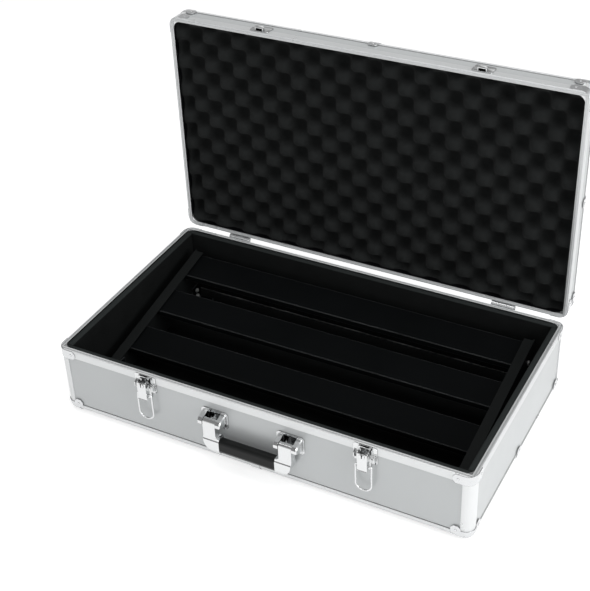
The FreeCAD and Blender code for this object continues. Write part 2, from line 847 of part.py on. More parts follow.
def latch_lever():
    """Lever: a folded channel with a curled finger end, and holes for pin, bail and lock."""
    half = lever_width / 2
    out = lever_pivot_out
    drop = lever_pivot_drop
    front = out + lever_front
    inner = front - lever_sheet
    seat_back = bail_pivot_out - bail_seat
    turn = bail_seat * math.cos(math.radians(45))
    tip = lever_front * math.tan(math.radians(22.5))
    outline = [
        front_point(front, drop - tip), front_point(out + tip, drop - lever_front),
        front_point(out - tip, drop - lever_front), front_point(out - lever_front, drop - tip),
        front_point(seat_back, bail_pivot_drop),
        front_point(bail_pivot_out - turn, bail_pivot_drop + turn),
        front_point(bail_pivot_out, bail_pivot_drop + bail_seat),
        front_point(inner, lever_flange_end), front_point(inner, lever_end), front_point(front, lever_end),
    ]
    body = along_x(outline, -half, half)
    wide = half - lever_sheet
    y_in, z_end = front_point(inner, lever_end + overrun)
    y_back, z_top = front_point(-overrun, drop - lever_front - overrun)
    hollow = block(-wide, wide, y_in, y_back, z_end, z_top)
    y_front, z_cut = front_point(front + overrun, drop - lever_web_rise)
    over = block(-wide, wide, y_front, y_back, z_cut, z_top)
    r_in = lever_curl_radius
    r_out = r_in + lever_sheet
    cy = front + r_in

    def on_curl(radius, degrees):
        a = math.radians(degrees)
        return front_point(cy - radius * math.cos(a), lever_end + radius * math.sin(a))
    mid = lever_curl_degrees / 2
    curl = along_x([
        on_curl(r_in, 0), on_curl(r_in, mid), on_curl(r_in, lever_curl_degrees),
        on_curl(r_out, lever_curl_degrees), on_curl(r_out, mid), on_curl(r_out, 0),
    ], -half, half)
    lever = fuse(body.cut(hollow).cut(over), curl)
    y, z = front_point(out, drop)
    pin_bore = flat_sided(lever_pin_radius + pin_clearance, 2 * latch_width, Vec(-latch_width, y, z),
                          ALONG_X, True, bore_flats)
    y, z = front_point(bail_pivot_out, bail_pivot_drop)
    bail_bore = flat_sided(bail_wire_radius + pin_clearance, 2 * latch_width, Vec(-latch_width, y, z),
                           ALONG_X, True, bore_flats)
    y, z = front_point(front + overrun, lock_drop)
    lock_bore = flat_sided(lock_stem_radius + pin_clearance, lever_sheet + 2 * overrun, Vec(0, y, z), ALONG_Y, True)
    return lever.cut(pin_bore).cut(bail_bore).cut(lock_bore)


def latch_pin():
    """Right pivot stud of the lever, with its head outside and its end in the plate's ear."""
    half = lever_width / 2 + pin_clearance
    y, z = front_point(lever_pivot_out, lever_pivot_drop)
    shank = flat_sided(lever_pin_radius, half - ear_gap, Vec(ear_gap, y, z), ALONG_X)
    head = flat_sided(lever_pin_head, lever_pin_head_length, Vec(half, y, z), ALONG_X)
    return fuse(shank, head)


def bent_path(points, radii):
    """Corner points with each inner corner replaced by a bend of short straight steps."""
    path = [points[0]]
    for i in range(1, len(points) - 1):
        corner = points[i]
        back = (points[i - 1] - corner).normalize()
        ahead = (points[i + 1] - corner).normalize()
        half_angle = back.getAngle(ahead) / 2
        middle_way = (back + ahead).normalize()
        centre = corner + middle_way * (radii[i - 1] / math.sin(half_angle))
        spoke = corner + back * (radii[i - 1] / math.tan(half_angle)) - centre
        turn = math.degrees(math.pi - 2 * half_angle)
        axis = spoke.cross(-middle_way)
        for step in range(bend_steps + 1):
            path.append(centre + FreeCAD.Rotation(axis, turn * step / bend_steps).multVec(spoke))
    path.append(points[-1])
    return path


def latch_bail():
    """Wire bail hanging from the lever, its two ends turned in through the lever's sides."""
    y, z = front_point(bail_pivot_out, bail_pivot_drop)
    inside = lever_width / 2 - lever_sheet - bail_end_gap
    w = bail_half_width
    low = z - bail_length
    points = [Vec(-inside, y, z), Vec(-w, y, z), Vec(-w, y, low), Vec(w, y, low), Vec(w, y, z), Vec(inside, y, z)]
    path = bent_path(points, [bail_shoulder, bail_end_round, bail_end_round, bail_shoulder])
    section = flat_sided(bail_wire_radius, overrun, points[0], ALONG_X).Faces
    ring = min(section, key=lambda f: f.CenterOfMass.distanceToPoint(points[0])).OuterWire
    return Part.makePolygon(path).makePipeShell([ring], True, False, 1)


def lock_barrel():
    """Key lock in the lever: a headed barrel with a keyway and a cam behind."""
    front = lever_pivot_out + lever_front
    y, z = front_point(front + pin_clearance, lock_drop)
    head = flat_sided(lock_head_radius, lock_head_length, Vec(0, y, z), -ALONG_Y, sides=barrel_flats)
    stem = flat_sided(lock_stem_radius, lock_stem_length, Vec(0, y, z), ALONG_Y)
    y_cam = y + lock_stem_length - lock_cam_thickness
    cam = block(-lock_cam_width / 2, lock_cam_width / 2, y_cam, y + lock_stem_length, z - lock_cam_reach, z)
    y_face = y - lock_head_length
    keyway = block(-key_slot_width / 2, key_slot_width / 2, y_face - overrun, y_face + key_slot_depth,
                   z - key_slot_length / 2, z + key_slot_length / 2)
    round_top = flat_sided(key_slot_width, key_slot_depth + overrun,
                            Vec(0, y_face - overrun, z + key_slot_length / 2), ALONG_Y)
    return fuse(head, stem, cam).cut(fuse(keyway, round_top))


def keeper():
    """Keeper on the closed lid: a joggled plate with a raised bridge for the bail."""
    half = keeper_width / 2
    sheet = joggled_sheet(half, -keeper_bottom, -keeper_top, latch_sheet)
    plate = sheet.common(plate_outline([(half, -keeper_bottom, -keeper_top)]))
    bar_up = bail_length - bail_pivot_drop
    bridge_top = bar_up - bail_wire_radius - keeper_bail_gap
    w = keeper_bridge_width / 2
    bridge = clipped_plate(-w, w, seam + keeper_bridge_bottom, seam + bridge_top,
                           front_face - keeper_bridge_out, front_face, keeper_bridge_cut)
    square = block(-w, w, front_face - keeper_bridge_out, front_face, seam + keeper_bridge_bottom,
                   seam + keeper_bridge_bottom + keeper_bridge_cut)
    s = latch_sheet
    mouth = block(-w + s, w - s, front_face - keeper_bridge_out + s, front_face - s,
                  seam + keeper_bridge_bottom - overrun, seam + bridge_top - s)
    return fuse(plate, bridge, square).cut(mouth)


def make_latches():
    """Both latches, and their keepers on the open lid."""
    plate = latch_plate()
    pieces = {
        "latch_lever": latch_lever(),
        "latch_bail": latch_bail(),
        "latch_lock": lock_barrel(),
    }
    pin = latch_pin()
    strike = keeper()
    sides = (("left", -latch_place), ("right", latch_place))
    for label, x in sides:
        for name, shape in pieces.items():
            save(name + "_" + label, moved(shape, x=x))
    save("latch_plates", *[moved(plate, x=x) for label, x in sides])
    save("latch_pins", *[moved(p, x=x) for label, x in sides for p in (pin, mirrored_x(pin))])
    save("lid_keepers", *[close_to_open(moved(strike, x=x)) for label, x in sides])


# Handle. Out is forward from the front panel's outer face.

panel_face = front_face + lip
handle_z = seam - bracket_centre_drop + handle_pivot_rise


def handle_point(out, drop):
    """A (y, z) point measured from the panel and the handle's pivot."""
    return (panel_face - out, handle_z - drop)


def handle_bracket():
    """Cast plate with two thick cheeks that hold the handle's pin."""
    half = bracket_width / 2
    zc = seam - bracket_centre_drop
    high = bracket_height / 2
    plate = clipped_plate(-half, half, zc - high, zc + high, panel_face - bracket_sheet, panel_face, bracket_cut)
    top = handle_pivot_rise - high + cheek_root_inset
    low = handle_pivot_rise + high - cheek_root_inset
    r = cheek_radius
    tip = r * math.tan(math.pi / flats)
    outline = [
        handle_point(bracket_sheet / 2, top), handle_point(handle_pivot_out - tip, -r),
        handle_point(handle_pivot_out + tip, -r), handle_point(handle_pivot_out + r, -tip),
        handle_point(handle_pivot_out + r, tip), handle_point(handle_pivot_out + tip, r),
        handle_point(handle_pivot_out - tip, r), handle_point(bracket_sheet / 2, low),
    ]
    cheek = along_x(outline, cheek_gap, cheek_gap + cheek_thickness)
    x_end = cheek_gap + cheek_thickness
    rims = [e for e in cheek.Edges if e.BoundBox.XMin > x_end - lip and e.BoundBox.YMin < panel_face - 2 * bracket_sheet]
    cheek = cheek.makeChamfer(cheek_cut, rims)
    y, z = handle_point(handle_pivot_out, 0.0)
    bore = flat_sided(handle_pin_radius + pin_clearance, bracket_width, Vec(-half, y, z), ALONG_X, True)
    return fuse(plate, cheek, mirrored_x(cheek)).cut(bore)


def grip_section(grow):
    """Section of the grip as (y, z) points: eight corners, deeper chamfers below."""
    h = grip_height / 2 + grow
    d = grip_depth / 2 + grow
    c = grip_chamfer
    low = grip_low_chamfer
    corners = [(d, h - c), (d - c, h), (c - d, h), (-d, h - c), (-d, low - h), (c - d, -h), (d - c, -h), (d, low - h)]
    yc, zc = handle_point(handle_pivot_out + grip_forward, grip_drop)
    return [(yc + a, zc + b) for a, b in corners]


def arm_front_view():
    """Front outline of the right arm about its own middle, as a solid right through the arm."""
    wide = cheek_gap - handle_side_gap
    top = handle_z + arm_depth
    high = handle_z - grip_drop + grip_height / 2 + arm_collar
    low = handle_z - grip_drop - grip_height / 2 - arm_collar
    inner = -wide - (arm_collar_reach - wide) - lip
    r = arm_bend_radius
    turn = r - r * math.cos(math.radians(45))
    q = arm_inner_round
    bend = q - q * math.cos(math.radians(45))
    y = front_face - 2 * arm_depth - 2 * grip_depth

    def at(x, z):
        return Vec(x, y, z)
    outline = [
        at(-wide, top), at(wide, top), at(wide, low + r),
        (at(wide - turn, low + turn), at(wide - r, low)),
        at(inner, low), at(inner, high), at(-wide - q, high),
        (at(-wide - bend, high + bend), at(-wide, high + q)),
    ]
    return face_of(outline).extrude(Vec(0, half_depth, 0))


def arm_side_view():
    """Side outline of an arm: a round eye, a straight leg and the flared end, with round corners."""
    r = arm_depth / 2
    out = handle_pivot_out
    wide = cheek_gap - handle_side_gap
    section = grip_section(arm_collar)
    ends = along_x(section, -2 * wide, wide)
    eye_and_leg = along_x([
        handle_point(out - r, 0.0), (handle_point(out, -r), handle_point(out + r, 0.0)),
        handle_point(out + r, arm_flare_top), handle_point(out + grip_depth / 2, arm_flare_bottom),
        handle_point(out + grip_depth / 2, grip_drop), handle_point(out - grip_depth / 2, grip_drop),
        handle_point(out - grip_depth / 2, arm_flare_bottom), handle_point(out - r, arm_flare_top),
    ], -2 * wide, wide)
    return fuse(eye_and_leg, ends)


def handle_arm():
    """Right cast arm: an eye on the pin, a leg and a bend that holds the grip's end."""
    wide = cheek_gap - handle_side_gap
    y, z = handle_point(handle_pivot_out, 0.0)
    arm = arm_front_view().common(arm_side_view())
    bore = flat_sided(handle_pin_radius + pin_clearance, 4 * wide, Vec(-2 * wide, y, z), ALONG_X, True, bore_flats)
    x_end = -arm_collar_reach - lip
    socket = along_x(grip_section(0.0), x_end - overrun, x_end + arm_socket)
    return arm.cut(bore).cut(socket)


def make_handle():
    """Brackets, pins, arms and grip."""
    half = handle_spacing / 2
    bracket = handle_bracket()
    arm = moved(handle_arm(), x=half)
    y, z = handle_point(handle_pivot_out, 0.0)
    reach = cheek_gap + cheek_thickness
    pin = flat_sided(handle_pin_radius, 2 * reach, Vec(-reach, y, z), ALONG_X, sides=bore_flats)
    save("handle_brackets", moved(bracket, x=-half), moved(bracket, x=half))
    save("handle_pins", moved(pin, x=-half), moved(pin, x=half))
    save("handle_arms", mirrored_x(arm), arm)
    end = half - arm_collar_reach - lip + arm_socket
    save("handle_grip", along_x(grip_section(0.0), -end, end))


# Board

def on_board(shape):
    """Tilt a piece from the board's own flat frame into the case."""
    copy = shape.copy()
    copy.rotate(HERE, ALONG_X, board_degrees)
    copy.translate(Vec(0, -board_front, board_front_height))
    return copy


board_run = (rail_rear + board_front) / math.cos(math.radians(board_degrees))
slat_pitch = (board_run - slat_rear_inset - slat_width) / (slat_count - 1)


def slat():
    """Folded slat: a flat top with two turned down lips and a tab at each end."""
    s = slat_sheet
    w = slat_width
    r = slat_fold
    outline = [
        (0.0, -slat_lip), (0.0, -r), (r, 0.0), (w - r, 0.0), (w, -r),
        (w, -slat_lip), (w - s, -slat_lip), (w - s, -s), (s, -s), (s, -slat_lip),
    ]
    top = along_x(outline, -rail_web, rail_web)
    y0 = (w - slat_tab_width) / 2
    tabs = []
    for side in (-1, 1):
        x0 = side * (rail_web - s)
        x1 = side * rail_web
        tabs.append(block(min(x0, x1), max(x0, x1), y0, y0 + slat_tab_width, -slat_tab_height, -s))
    return fuse(top, *tabs)


def side_rail():
    """Right side rail: an upright web on the mat with a sloping top flange turned inward."""
    slope = math.tan(math.radians(board_degrees))
    rise = rail_rise / math.cos(math.radians(board_degrees))

    def top_at(y):
        return board_front_height + rise + (y + board_front) * slope
    r = rail_nose_round
    yf = -rail_front
    web = along_x([
        (yf, mat_top), (rail_rear, mat_top), (rail_rear, top_at(rail_rear)), (yf + r, top_at(yf + r)),
        (yf, top_at(yf) - r),
    ], rail_web, rail_web + rail_sheet)
    u0 = (r - rail_front + board_front) / math.cos(math.radians(board_degrees))
    u1 = (rail_rear + board_front) / math.cos(math.radians(board_degrees)) - rail_sheet
    flange = on_board(block(rail_gap, rail_web + rail_sheet, u0, u1, rail_rise - rail_sheet, rail_rise))
    return fuse(web, flange)


def screw(at, inward, length):
    """Button head screw; its head stands on the point given."""
    head = flat_sided(screw_head_radius, screw_head_length, at, -inward, sides=fastener_flats)
    shank = flat_sided(screw_radius, length, at, inward, sides=fastener_flats)
    return fuse(head, shank)


def make_board(bottom):
    """Rails, slats, corner brackets and screws. The bottom panel gets the bracket screw holes."""
    hole = screw_radius + screw_clearance
    rail = side_rail()
    slats = [slat() for i in range(slat_count)]
    slats = [on_board(moved(slats[i], y=i * slat_pitch)) for i in range(slat_count)]
    screws = []
    web_out = rail_web + rail_sheet
    slope = math.radians(board_degrees)
    for i in range(slat_count):
        along = i * slat_pitch + slat_width / 2
        y = -board_front + along * math.cos(slope) + slat_screw_drop * math.sin(slope)
        z = board_front_height + along * math.sin(slope) - slat_screw_drop * math.cos(slope)
        drill = flat_sided(hole, 2 * web_out, Vec(-web_out, y, z), ALONG_X, True, fastener_flats)
        slats[i] = slats[i].cut(drill)
        rail = rail.cut(drill)
        for side in (-1, 1):
            at = Vec(side * web_out, y, z)
            screws.append(screw(at, Vec(-side, 0, 0), rail_sheet + slat_sheet + screw_tip))
    brackets = []
    bracket_screws = []
    mat = floor_mat()
    s = rail_sheet
    y_places = (rail_rear - bracket_end_inset - bracket_length, -board_front + slat_width + slat_gap_inset)
    for y0 in y_places:
        y1 = y0 + bracket_length
        angle = fuse(
            block(rail_web - s, rail_web, y0, y1, mat_top, mat_top + bracket_leg_height),
            block(rail_web - bracket_leg, rail_web, y0, y1, mat_top, mat_top + s),
        )
        yc = (y0 + y1) / 2
        for high in (bracket_screw_low, bracket_screw_high):
            start = Vec(rail_web - bracket_leg / 2, yc, mat_top + high)
            drill = flat_sided(hole, bracket_leg, start, ALONG_X, True, fastener_flats)
            angle = angle.cut(drill)
            rail = rail.cut(drill)
            bracket_screws.append(screw(Vec(rail_web - s, yc, mat_top + high), ALONG_X, 2 * s + screw_tip))
        x_down = rail_web - bracket_leg / 2 - s
        down = Vec(x_down, yc, mat_top + s)
        drill = flat_sided(hole, mat_top + 2 * overrun, Vec(x_down, yc, -overrun), ALONG_Z, True, fastener_flats)
        angle = angle.cut(drill)
        for tool in (drill, mirrored_x(drill)):
            mat = mat.cut(tool)
            bottom = bottom.cut(tool)
        bracket_screws.append(screw(down, -ALONG_Z, mat_top + s))
        brackets.append(angle)
    save("board_rail_right", rail)
    save("board_rail_left", mirrored_x(rail))
    for label, shape in zip(("front", "lower", "upper", "back"), slats):
        save("board_slat_" + label, shape)
    save("board_slat_screws", *screws)
    save("board_brackets", *(brackets + [mirrored_x(b) for b in brackets]))
    save("board_bracket_screws", *(bracket_screws + [mirrored_x(b) for b in bracket_screws]))
    save("floor_mat", mat)
    save("base_panel_bottom", bottom)


make_tray("base", base_height, False, tray_to_base)
make_tray("lid", lid_height, True, tray_to_lid)
make_linings()
make_foam()
make_feet()
base_heads, lid_heads = make_hinges()
save("base_rivets", *(parts["base_rivets"].Solids + base_heads))
save("lid_rivets", *(parts["lid_rivets"].Solids + lid_heads))
make_latches()
make_handle()
make_board(parts["base_panel_bottom"])

for name, shape in sorted(parts.items()):
    shape.exportStep("parts/" + name + ".step")
print(len(parts), "nodes,", sum(len(s.Solids) for s in parts.values()), "solids")
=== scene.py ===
# %% [markdown]
# # A pedal case, dressed for a photograph
# The case is already built to size as an assembly of solids. Blender adds what
# a drawing can't hold: rounded sheet metal, foam with its waves, felt, rubber,
# and finishes that catch the light. Nothing that the drawing made is moved.

# %% Load the frame
import json
import math

import bmesh
import bpy
from mathutils import Matrix, Vector


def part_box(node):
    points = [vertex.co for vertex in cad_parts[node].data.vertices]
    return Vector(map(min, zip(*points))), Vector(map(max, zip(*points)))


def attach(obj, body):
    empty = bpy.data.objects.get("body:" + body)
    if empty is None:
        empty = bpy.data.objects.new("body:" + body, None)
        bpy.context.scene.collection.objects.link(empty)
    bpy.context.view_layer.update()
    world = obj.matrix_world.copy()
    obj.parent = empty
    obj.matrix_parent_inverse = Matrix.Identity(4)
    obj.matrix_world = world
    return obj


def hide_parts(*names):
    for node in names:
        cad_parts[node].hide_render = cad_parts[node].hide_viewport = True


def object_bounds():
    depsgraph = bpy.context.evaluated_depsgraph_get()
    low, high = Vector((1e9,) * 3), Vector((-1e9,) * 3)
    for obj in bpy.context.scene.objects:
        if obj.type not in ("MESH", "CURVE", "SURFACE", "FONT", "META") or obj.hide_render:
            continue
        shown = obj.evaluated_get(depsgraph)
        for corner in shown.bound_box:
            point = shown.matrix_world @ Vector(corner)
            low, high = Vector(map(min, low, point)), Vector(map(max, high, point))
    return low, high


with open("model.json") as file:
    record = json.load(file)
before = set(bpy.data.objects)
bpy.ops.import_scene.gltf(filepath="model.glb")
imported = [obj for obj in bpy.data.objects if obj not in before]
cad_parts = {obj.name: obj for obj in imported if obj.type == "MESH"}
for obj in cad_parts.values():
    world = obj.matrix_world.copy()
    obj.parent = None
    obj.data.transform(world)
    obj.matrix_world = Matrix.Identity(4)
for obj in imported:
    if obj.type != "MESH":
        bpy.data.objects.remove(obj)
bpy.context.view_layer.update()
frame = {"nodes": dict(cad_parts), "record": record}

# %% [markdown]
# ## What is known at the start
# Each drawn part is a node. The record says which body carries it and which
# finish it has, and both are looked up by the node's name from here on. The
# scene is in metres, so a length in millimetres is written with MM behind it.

MM = 0.001
nodes = frame["nodes"]
bodies = frame["record"]["behaviour"]["bodies"]
body_of = {node: body for body, names in bodies.items() for node in names}
parts_with_finish = [row for row in frame["record"]["subparts"] if row.get("material_slot")]
slot_of = {row["node"]: row["material_slot"] for row in parts_with_finish}


def in_mm(values):
    """Metres from a list of millimetres."""
    return Vector([v * MM for v in values])


# %% [markdown]
# ## The camera
# The photograph looks down on the case from its front right. A camera can be
# placed by eye, or worked out from corners whose real places are known. It was
# worked out here: a target in the case, two angles, a distance, a small roll.

# %% The camera
camera_target = in_mm((0.0, 50.0, 99.0))
camera_turn = 0.508746694
camera_height = 0.613872960
camera_roll = -0.0446323297
camera_distance = 1867.31243 * MM
camera_aside = in_mm((-47.7826659, 43.1304850, 0.0))
focal_pixels = 1261.27223
image_width = 590

back = Vector((
    math.sin(camera_turn) * math.cos(camera_height),
    -math.cos(camera_turn) * math.cos(camera_height),
    math.sin(camera_height),
))
level_right = Vector((0, 0, 1)).cross(back).normalized()
level_up = back.cross(level_right)
right = level_right * math.cos(camera_roll) + level_up * math.sin(camera_roll)
up = level_up * math.cos(camera_roll) - level_right * math.sin(camera_roll)
stand = camera_target + back * camera_distance + right * camera_aside.x + up * camera_aside.y

lens = bpy.data.cameras.new("Camera")
lens.sensor_fit = "HORIZONTAL"
lens.sensor_width = 36.0
lens.lens = focal_pixels * lens.sensor_width / image_width
camera = bpy.data.objects.new("Camera", lens)
camera.matrix_world = Matrix((
    (right.x, up.x, back.x, stand.x),
    (right.y, up.y, back.y, stand.y),
    (right.z, up.z, back.z, stand.z),
    (0, 0, 0, 1),
))
bpy.context.collection.objects.link(camera)
bpy.context.scene.camera = camera
print("lens", round(lens.lens, 2), "mm at", [round(v, 3) for v in stand])

# %% [markdown]
# ## Small tools for node trees
# A finish is a tree of nodes, and so is a shape that follows a rule. Each node
# is made, then fed: an input takes a plain number, or a socket to link to it.

# %% Make and feed a node
def feed(tree, socket, value):
    """Link a socket to an input, or set the input's number."""
    if isinstance(value, bpy.types.NodeSocket):
        tree.links.new(value, socket)
    else:
        socket.default_value = value


def add_node(tree, kind, inputs=None, **settings):
    """One node with its settings, and its inputs by name or by number."""
    node = tree.nodes.new(kind)
    for key, value in settings.items():
        setattr(node, key, value)
    for socket, value in (inputs or {}).items():
        feed(tree, node.inputs[socket], value)
    return node


def add_group(name, kind, inputs, outputs):
    """An empty node group, the sockets it is given, and those it puts out."""
    tree = bpy.data.node_groups.new(name, kind)
    for label, socket, value in inputs:
        made = tree.interface.new_socket(name=label, in_out="INPUT", socket_type=socket)
        if value is not None:
            made.default_value = value
    for label, socket in outputs:
        tree.interface.new_socket(name=label, in_out="OUTPUT", socket_type=socket)
    return tree, tree.nodes.new("NodeGroupInput").outputs, tree.nodes.new("NodeGroupOutput").inputs


# %% Reckon and mix
def math_node(tree, operation, *values):
    """What a Math node makes of sockets or numbers."""
    return add_node(tree, "ShaderNodeMath", dict(enumerate(values)), operation=operation).outputs[0]


def vector_node(tree, operation, *values):
    """What a Vector Math node makes of sockets."""
    return add_node(tree, "ShaderNodeVectorMath", dict(enumerate(values)), operation=operation).outputs


def value_between(tree, mask, low, high, from_min=0.3, from_max=0.7):
    """A number between two, by a mask."""
    limits = {"Value": mask, "From Min": from_min, "From Max": from_max, "To Min": low, "To Max": high}
    return add_node(tree, "ShaderNodeMapRange", limits).outputs[0]


def mixed_colour(tree, mask, under, over):
    """One colour laid over another where a mask says; each is three numbers or a socket."""
    if not isinstance(under, bpy.types.NodeSocket):
        under = (*under, 1.0)
    values = {"Factor": mask, "A": under, "B": (*over, 1.0)}
    return add_node(tree, "ShaderNodeMix", values, data_type="RGBA").outputs["Result"]


# %% [markdown]
# ## Effects shared by the finishes
# The same few effects come back on many parts, so each is a group built once,
# with inputs for what differs from part to part. Extruded and rolled metal has
# fine lines that run along it: a noise squeezed across and stretched along
# gives them.

# %% Drawn lines along a profile
FLOAT, VECTOR = "NodeSocketFloat", "NodeSocketVector"
drawn_lines, given, result = add_group(
    "drawn_lines", "ShaderNodeTree",
    [("Vector", VECTOR, None), ("Stretch", VECTOR, (1.0, 1.0, 1.0)), ("Scale", FLOAT, 900.0)],
    [("Lines", FLOAT)],
)
squeeze = add_node(drawn_lines, "ShaderNodeMapping", {"Vector": given["Vector"], "Scale": given["Stretch"]},
                   vector_type="POINT")
noise = add_node(drawn_lines, "ShaderNodeTexNoise", {
    "Vector": squeeze.outputs["Vector"], "Scale": given["Scale"], "Detail": 5.0, "Roughness": 0.6})
feed(drawn_lines, result["Lines"], noise.outputs["Fac"])

# %% [markdown]
# Handling leaves broad dull patches and a few short scratches. Both are noise,
# at two other scales: a scratch is where a noise crosses its middle value, and
# only some of the patches have them.

# %% Marks of handling
handling_marks, given, result = add_group(
    "handling_marks", "ShaderNodeTree",
    [("Vector", VECTOR, None), ("Patch scale", FLOAT, 14.0), ("Scratch scale", FLOAT, 160.0)],
    [("Patches", FLOAT), ("Scratches", FLOAT)],
)
patch = add_node(handling_marks, "ShaderNodeTexNoise", {
    "Vector": given["Vector"], "Scale": given["Patch scale"], "Detail": 3.0, "Roughness": 0.55})
feed(handling_marks, result["Patches"], patch.outputs["Fac"])
scratch_noise = add_node(handling_marks, "ShaderNodeTexNoise", {
    "Vector": given["Vector"], "Scale": given["Scratch scale"], "Detail": 2.0})
from_middle = math_node(handling_marks, "SUBTRACT", scratch_noise.outputs["Fac"], 0.5)
thin = value_between(handling_marks, math_node(handling_marks, "ABSOLUTE", from_middle), 1.0, 0.0, 0.0, 0.006)
where = value_between(handling_marks, patch.outputs["Fac"], 0.0, 1.0, 0.6, 0.7)
feed(handling_marks, result["Scratches"], math_node(handling_marks, "MULTIPLY", thin, where))

# %% [markdown]
# No real edge is sharp. The Bevel node turns the normal near an edge, so that
# a highlight runs along it, and the difference from the true normal is a mask
# of the edges, where wear and a painted edge shading go. Corners that are shut
# in by other metal get a painted shade, and ambient occlusion finds those.

# %% Softened and worn edges
soft_edges, given, result = add_group(
    "soft_edges", "ShaderNodeTree",
    [("Radius", FLOAT, 0.0004), ("Reach", FLOAT, 0.008)],
    [("Normal", VECTOR), ("Edge", FLOAT), ("Crevice", FLOAT)],
)
rounded = add_node(soft_edges, "ShaderNodeBevel", {"Radius": given["Radius"]}, samples=4).outputs["Normal"]
feed(soft_edges, result["Normal"], rounded)
true_normal = add_node(soft_edges, "ShaderNodeNewGeometry").outputs["Normal"]
likeness = vector_node(soft_edges, "DOT_PRODUCT", rounded, true_normal)["Value"]
feed(soft_edges, result["Edge"], value_between(soft_edges, likeness, 0.0, 1.0, 0.98, 0.80))
# Ambient occlusion gives the mask where a painted shade darkens shut-in corners.
openness = add_node(soft_edges, "ShaderNodeAmbientOcclusion", {"Distance": given["Reach"]}, samples=6)
feed(soft_edges, result["Crevice"], value_between(soft_edges, openness.outputs["AO"], 0.0, 1.0, 0.85, 0.25))

# %% [markdown]
# The boards are silver outside and black inside, and the lips of the frames
# get a painted reflection of the dark lining. One board is one solid, so a mask
# tells which of its faces look into the case: those within a box. The case has
# two like halves, so the box is the same for both signs of x. The same mask
# paints the depth of a keyway and of a slot black, as painted shade.

# %% Faces that look into the case
inside_room, given, result = add_group(
    "inside_room", "ShaderNodeTree",
    [("Vector", VECTOR, None), ("Middle", VECTOR, (0.0, 0.0, 0.0)), ("Half size", VECTOR, (1.0, 1.0, 1.0))],
    [("Inside", FLOAT)],
)
spot = add_node(inside_room, "ShaderNodeSeparateXYZ", {0: given["Vector"]}).outputs
mirrored = add_node(inside_room, "ShaderNodeCombineXYZ", {
    "X": math_node(inside_room, "ABSOLUTE", spot["X"]), "Y": spot["Y"], "Z": spot["Z"]})
away = vector_node(inside_room, "SUBTRACT", mirrored.outputs[0], given["Middle"])[0]
away = vector_node(inside_room, "ABSOLUTE", away)[0]
room_left = vector_node(inside_room, "SUBTRACT", given["Half size"], away)[0]
room_left = add_node(inside_room, "ShaderNodeSeparateXYZ", {0: room_left}).outputs
least = math_node(inside_room, "MINIMUM", room_left["X"], room_left["Y"])
least = math_node(inside_room, "MINIMUM", least, room_left["Z"])
feed(inside_room, result["Inside"], math_node(inside_room, "GREATER_THAN", least, 0.0))

# %% [markdown]
# A board sits in a slot of the profile below it. The shadow in that seam, with
# a little dirt, is painted as a dark line, a mask of the places close to one plane.

# %% The dark line of a seam
seam_line, given, result = add_group(
    "seam_line", "ShaderNodeTree",
    [("Vector", VECTOR, None), ("Across", VECTOR, (0.0, 0.0, 1.0)), ("Level", FLOAT, 0.0),
     ("Width", FLOAT, 0.001)],
    [("Line", FLOAT)],
)
level_here = vector_node(seam_line, "DOT_PRODUCT", given["Vector"], given["Across"])["Value"]
from_plane = math_node(seam_line, "ABSOLUTE", math_node(seam_line, "SUBTRACT", level_here, given["Level"]))
feed(seam_line, result["Line"], math_node(seam_line, "LESS_THAN", from_plane, given["Width"]))

# %% [markdown]
# Foam is full of small cells and felt of fibres, and both fade in soft clouds.
# Cells are the distance to the nearest of many scattered points, with a fine
# noise added to it, and clouds are a wide noise.

# %% Cells and fibres of soft stuff
soft_cells, given, result = add_group(
    "soft_cells", "ShaderNodeTree",
    [("Vector", VECTOR, None), ("Cell scale", FLOAT, 900.0), ("Cloud scale", FLOAT, 25.0)],
    [("Cells", FLOAT), ("Clouds", FLOAT)],
)
pore = add_node(soft_cells, "ShaderNodeTexVoronoi", {"Vector": given["Vector"], "Scale": given["Cell scale"]},
                feature="F1")
fibre = add_node(soft_cells, "ShaderNodeTexNoise", {
    "Vector": given["Vector"], "Scale": given["Cell scale"], "Detail": 4.0, "Roughness": 0.7})
pore_share = math_node(soft_cells, "MULTIPLY", pore.outputs["Distance"], 0.6)
fibre_share = math_node(soft_cells, "MULTIPLY", fibre.outputs["Fac"], 0.6)
feed(soft_cells, result["Cells"], math_node(soft_cells, "ADD", pore_share, fibre_share))
cloud = add_node(soft_cells, "ShaderNodeTexNoise", {
    "Vector": given["Vector"], "Scale": given["Cloud scale"], "Detail": 3.0})
feed(soft_cells, result["Clouds"], cloud.outputs["Fac"])
print("shader groups", [g.name for g in bpy.data.node_groups])

# %% [markdown]
# ## The finishes
# The shader itself stays in each material, with its plain numbers on its own
# sockets, and the groups feed it what changes over the surface. First come the
# tools that both kinds of finish share.

# %% A new material, and a group placed in it
def new_material(name, **numbers):
    """A material, its tree, its shader with some plain numbers, and Object coordinates."""
    material = bpy.data.materials.new(name)
    material.use_nodes = True
    tree = material.node_tree
    shader = tree.nodes["Principled BSDF"]
    for label, number in numbers.items():
        shader.inputs[label.replace("_", " ")].default_value = number
    return material, tree, shader.inputs, add_node(tree, "ShaderNodeTexCoord").outputs["Object"]


def place_group(tree, group, **values):
    """A shared effect in a material, with its own values."""
    inputs = {label.replace("_", " "): value for label, value in values.items()}
    return add_node(tree, "ShaderNodeGroup", inputs, node_tree=group)


# %% [markdown]
# What lies over the base colour of a hard part comes in an order: wear and a
# painted edge shading lie along its edges, a painted shade darkens its corners,
# the seam is a painted shadow line across it, and the black of the inside, with
# its painted shade and reflection, covers all of these.

# %% What lies over a hard part's colour
SEAM_SHADOW, BLACK_INSIDE_SHADE_AND_REFLECTION = (0.01, 0.01, 0.01), (0.004, 0.004, 0.005)


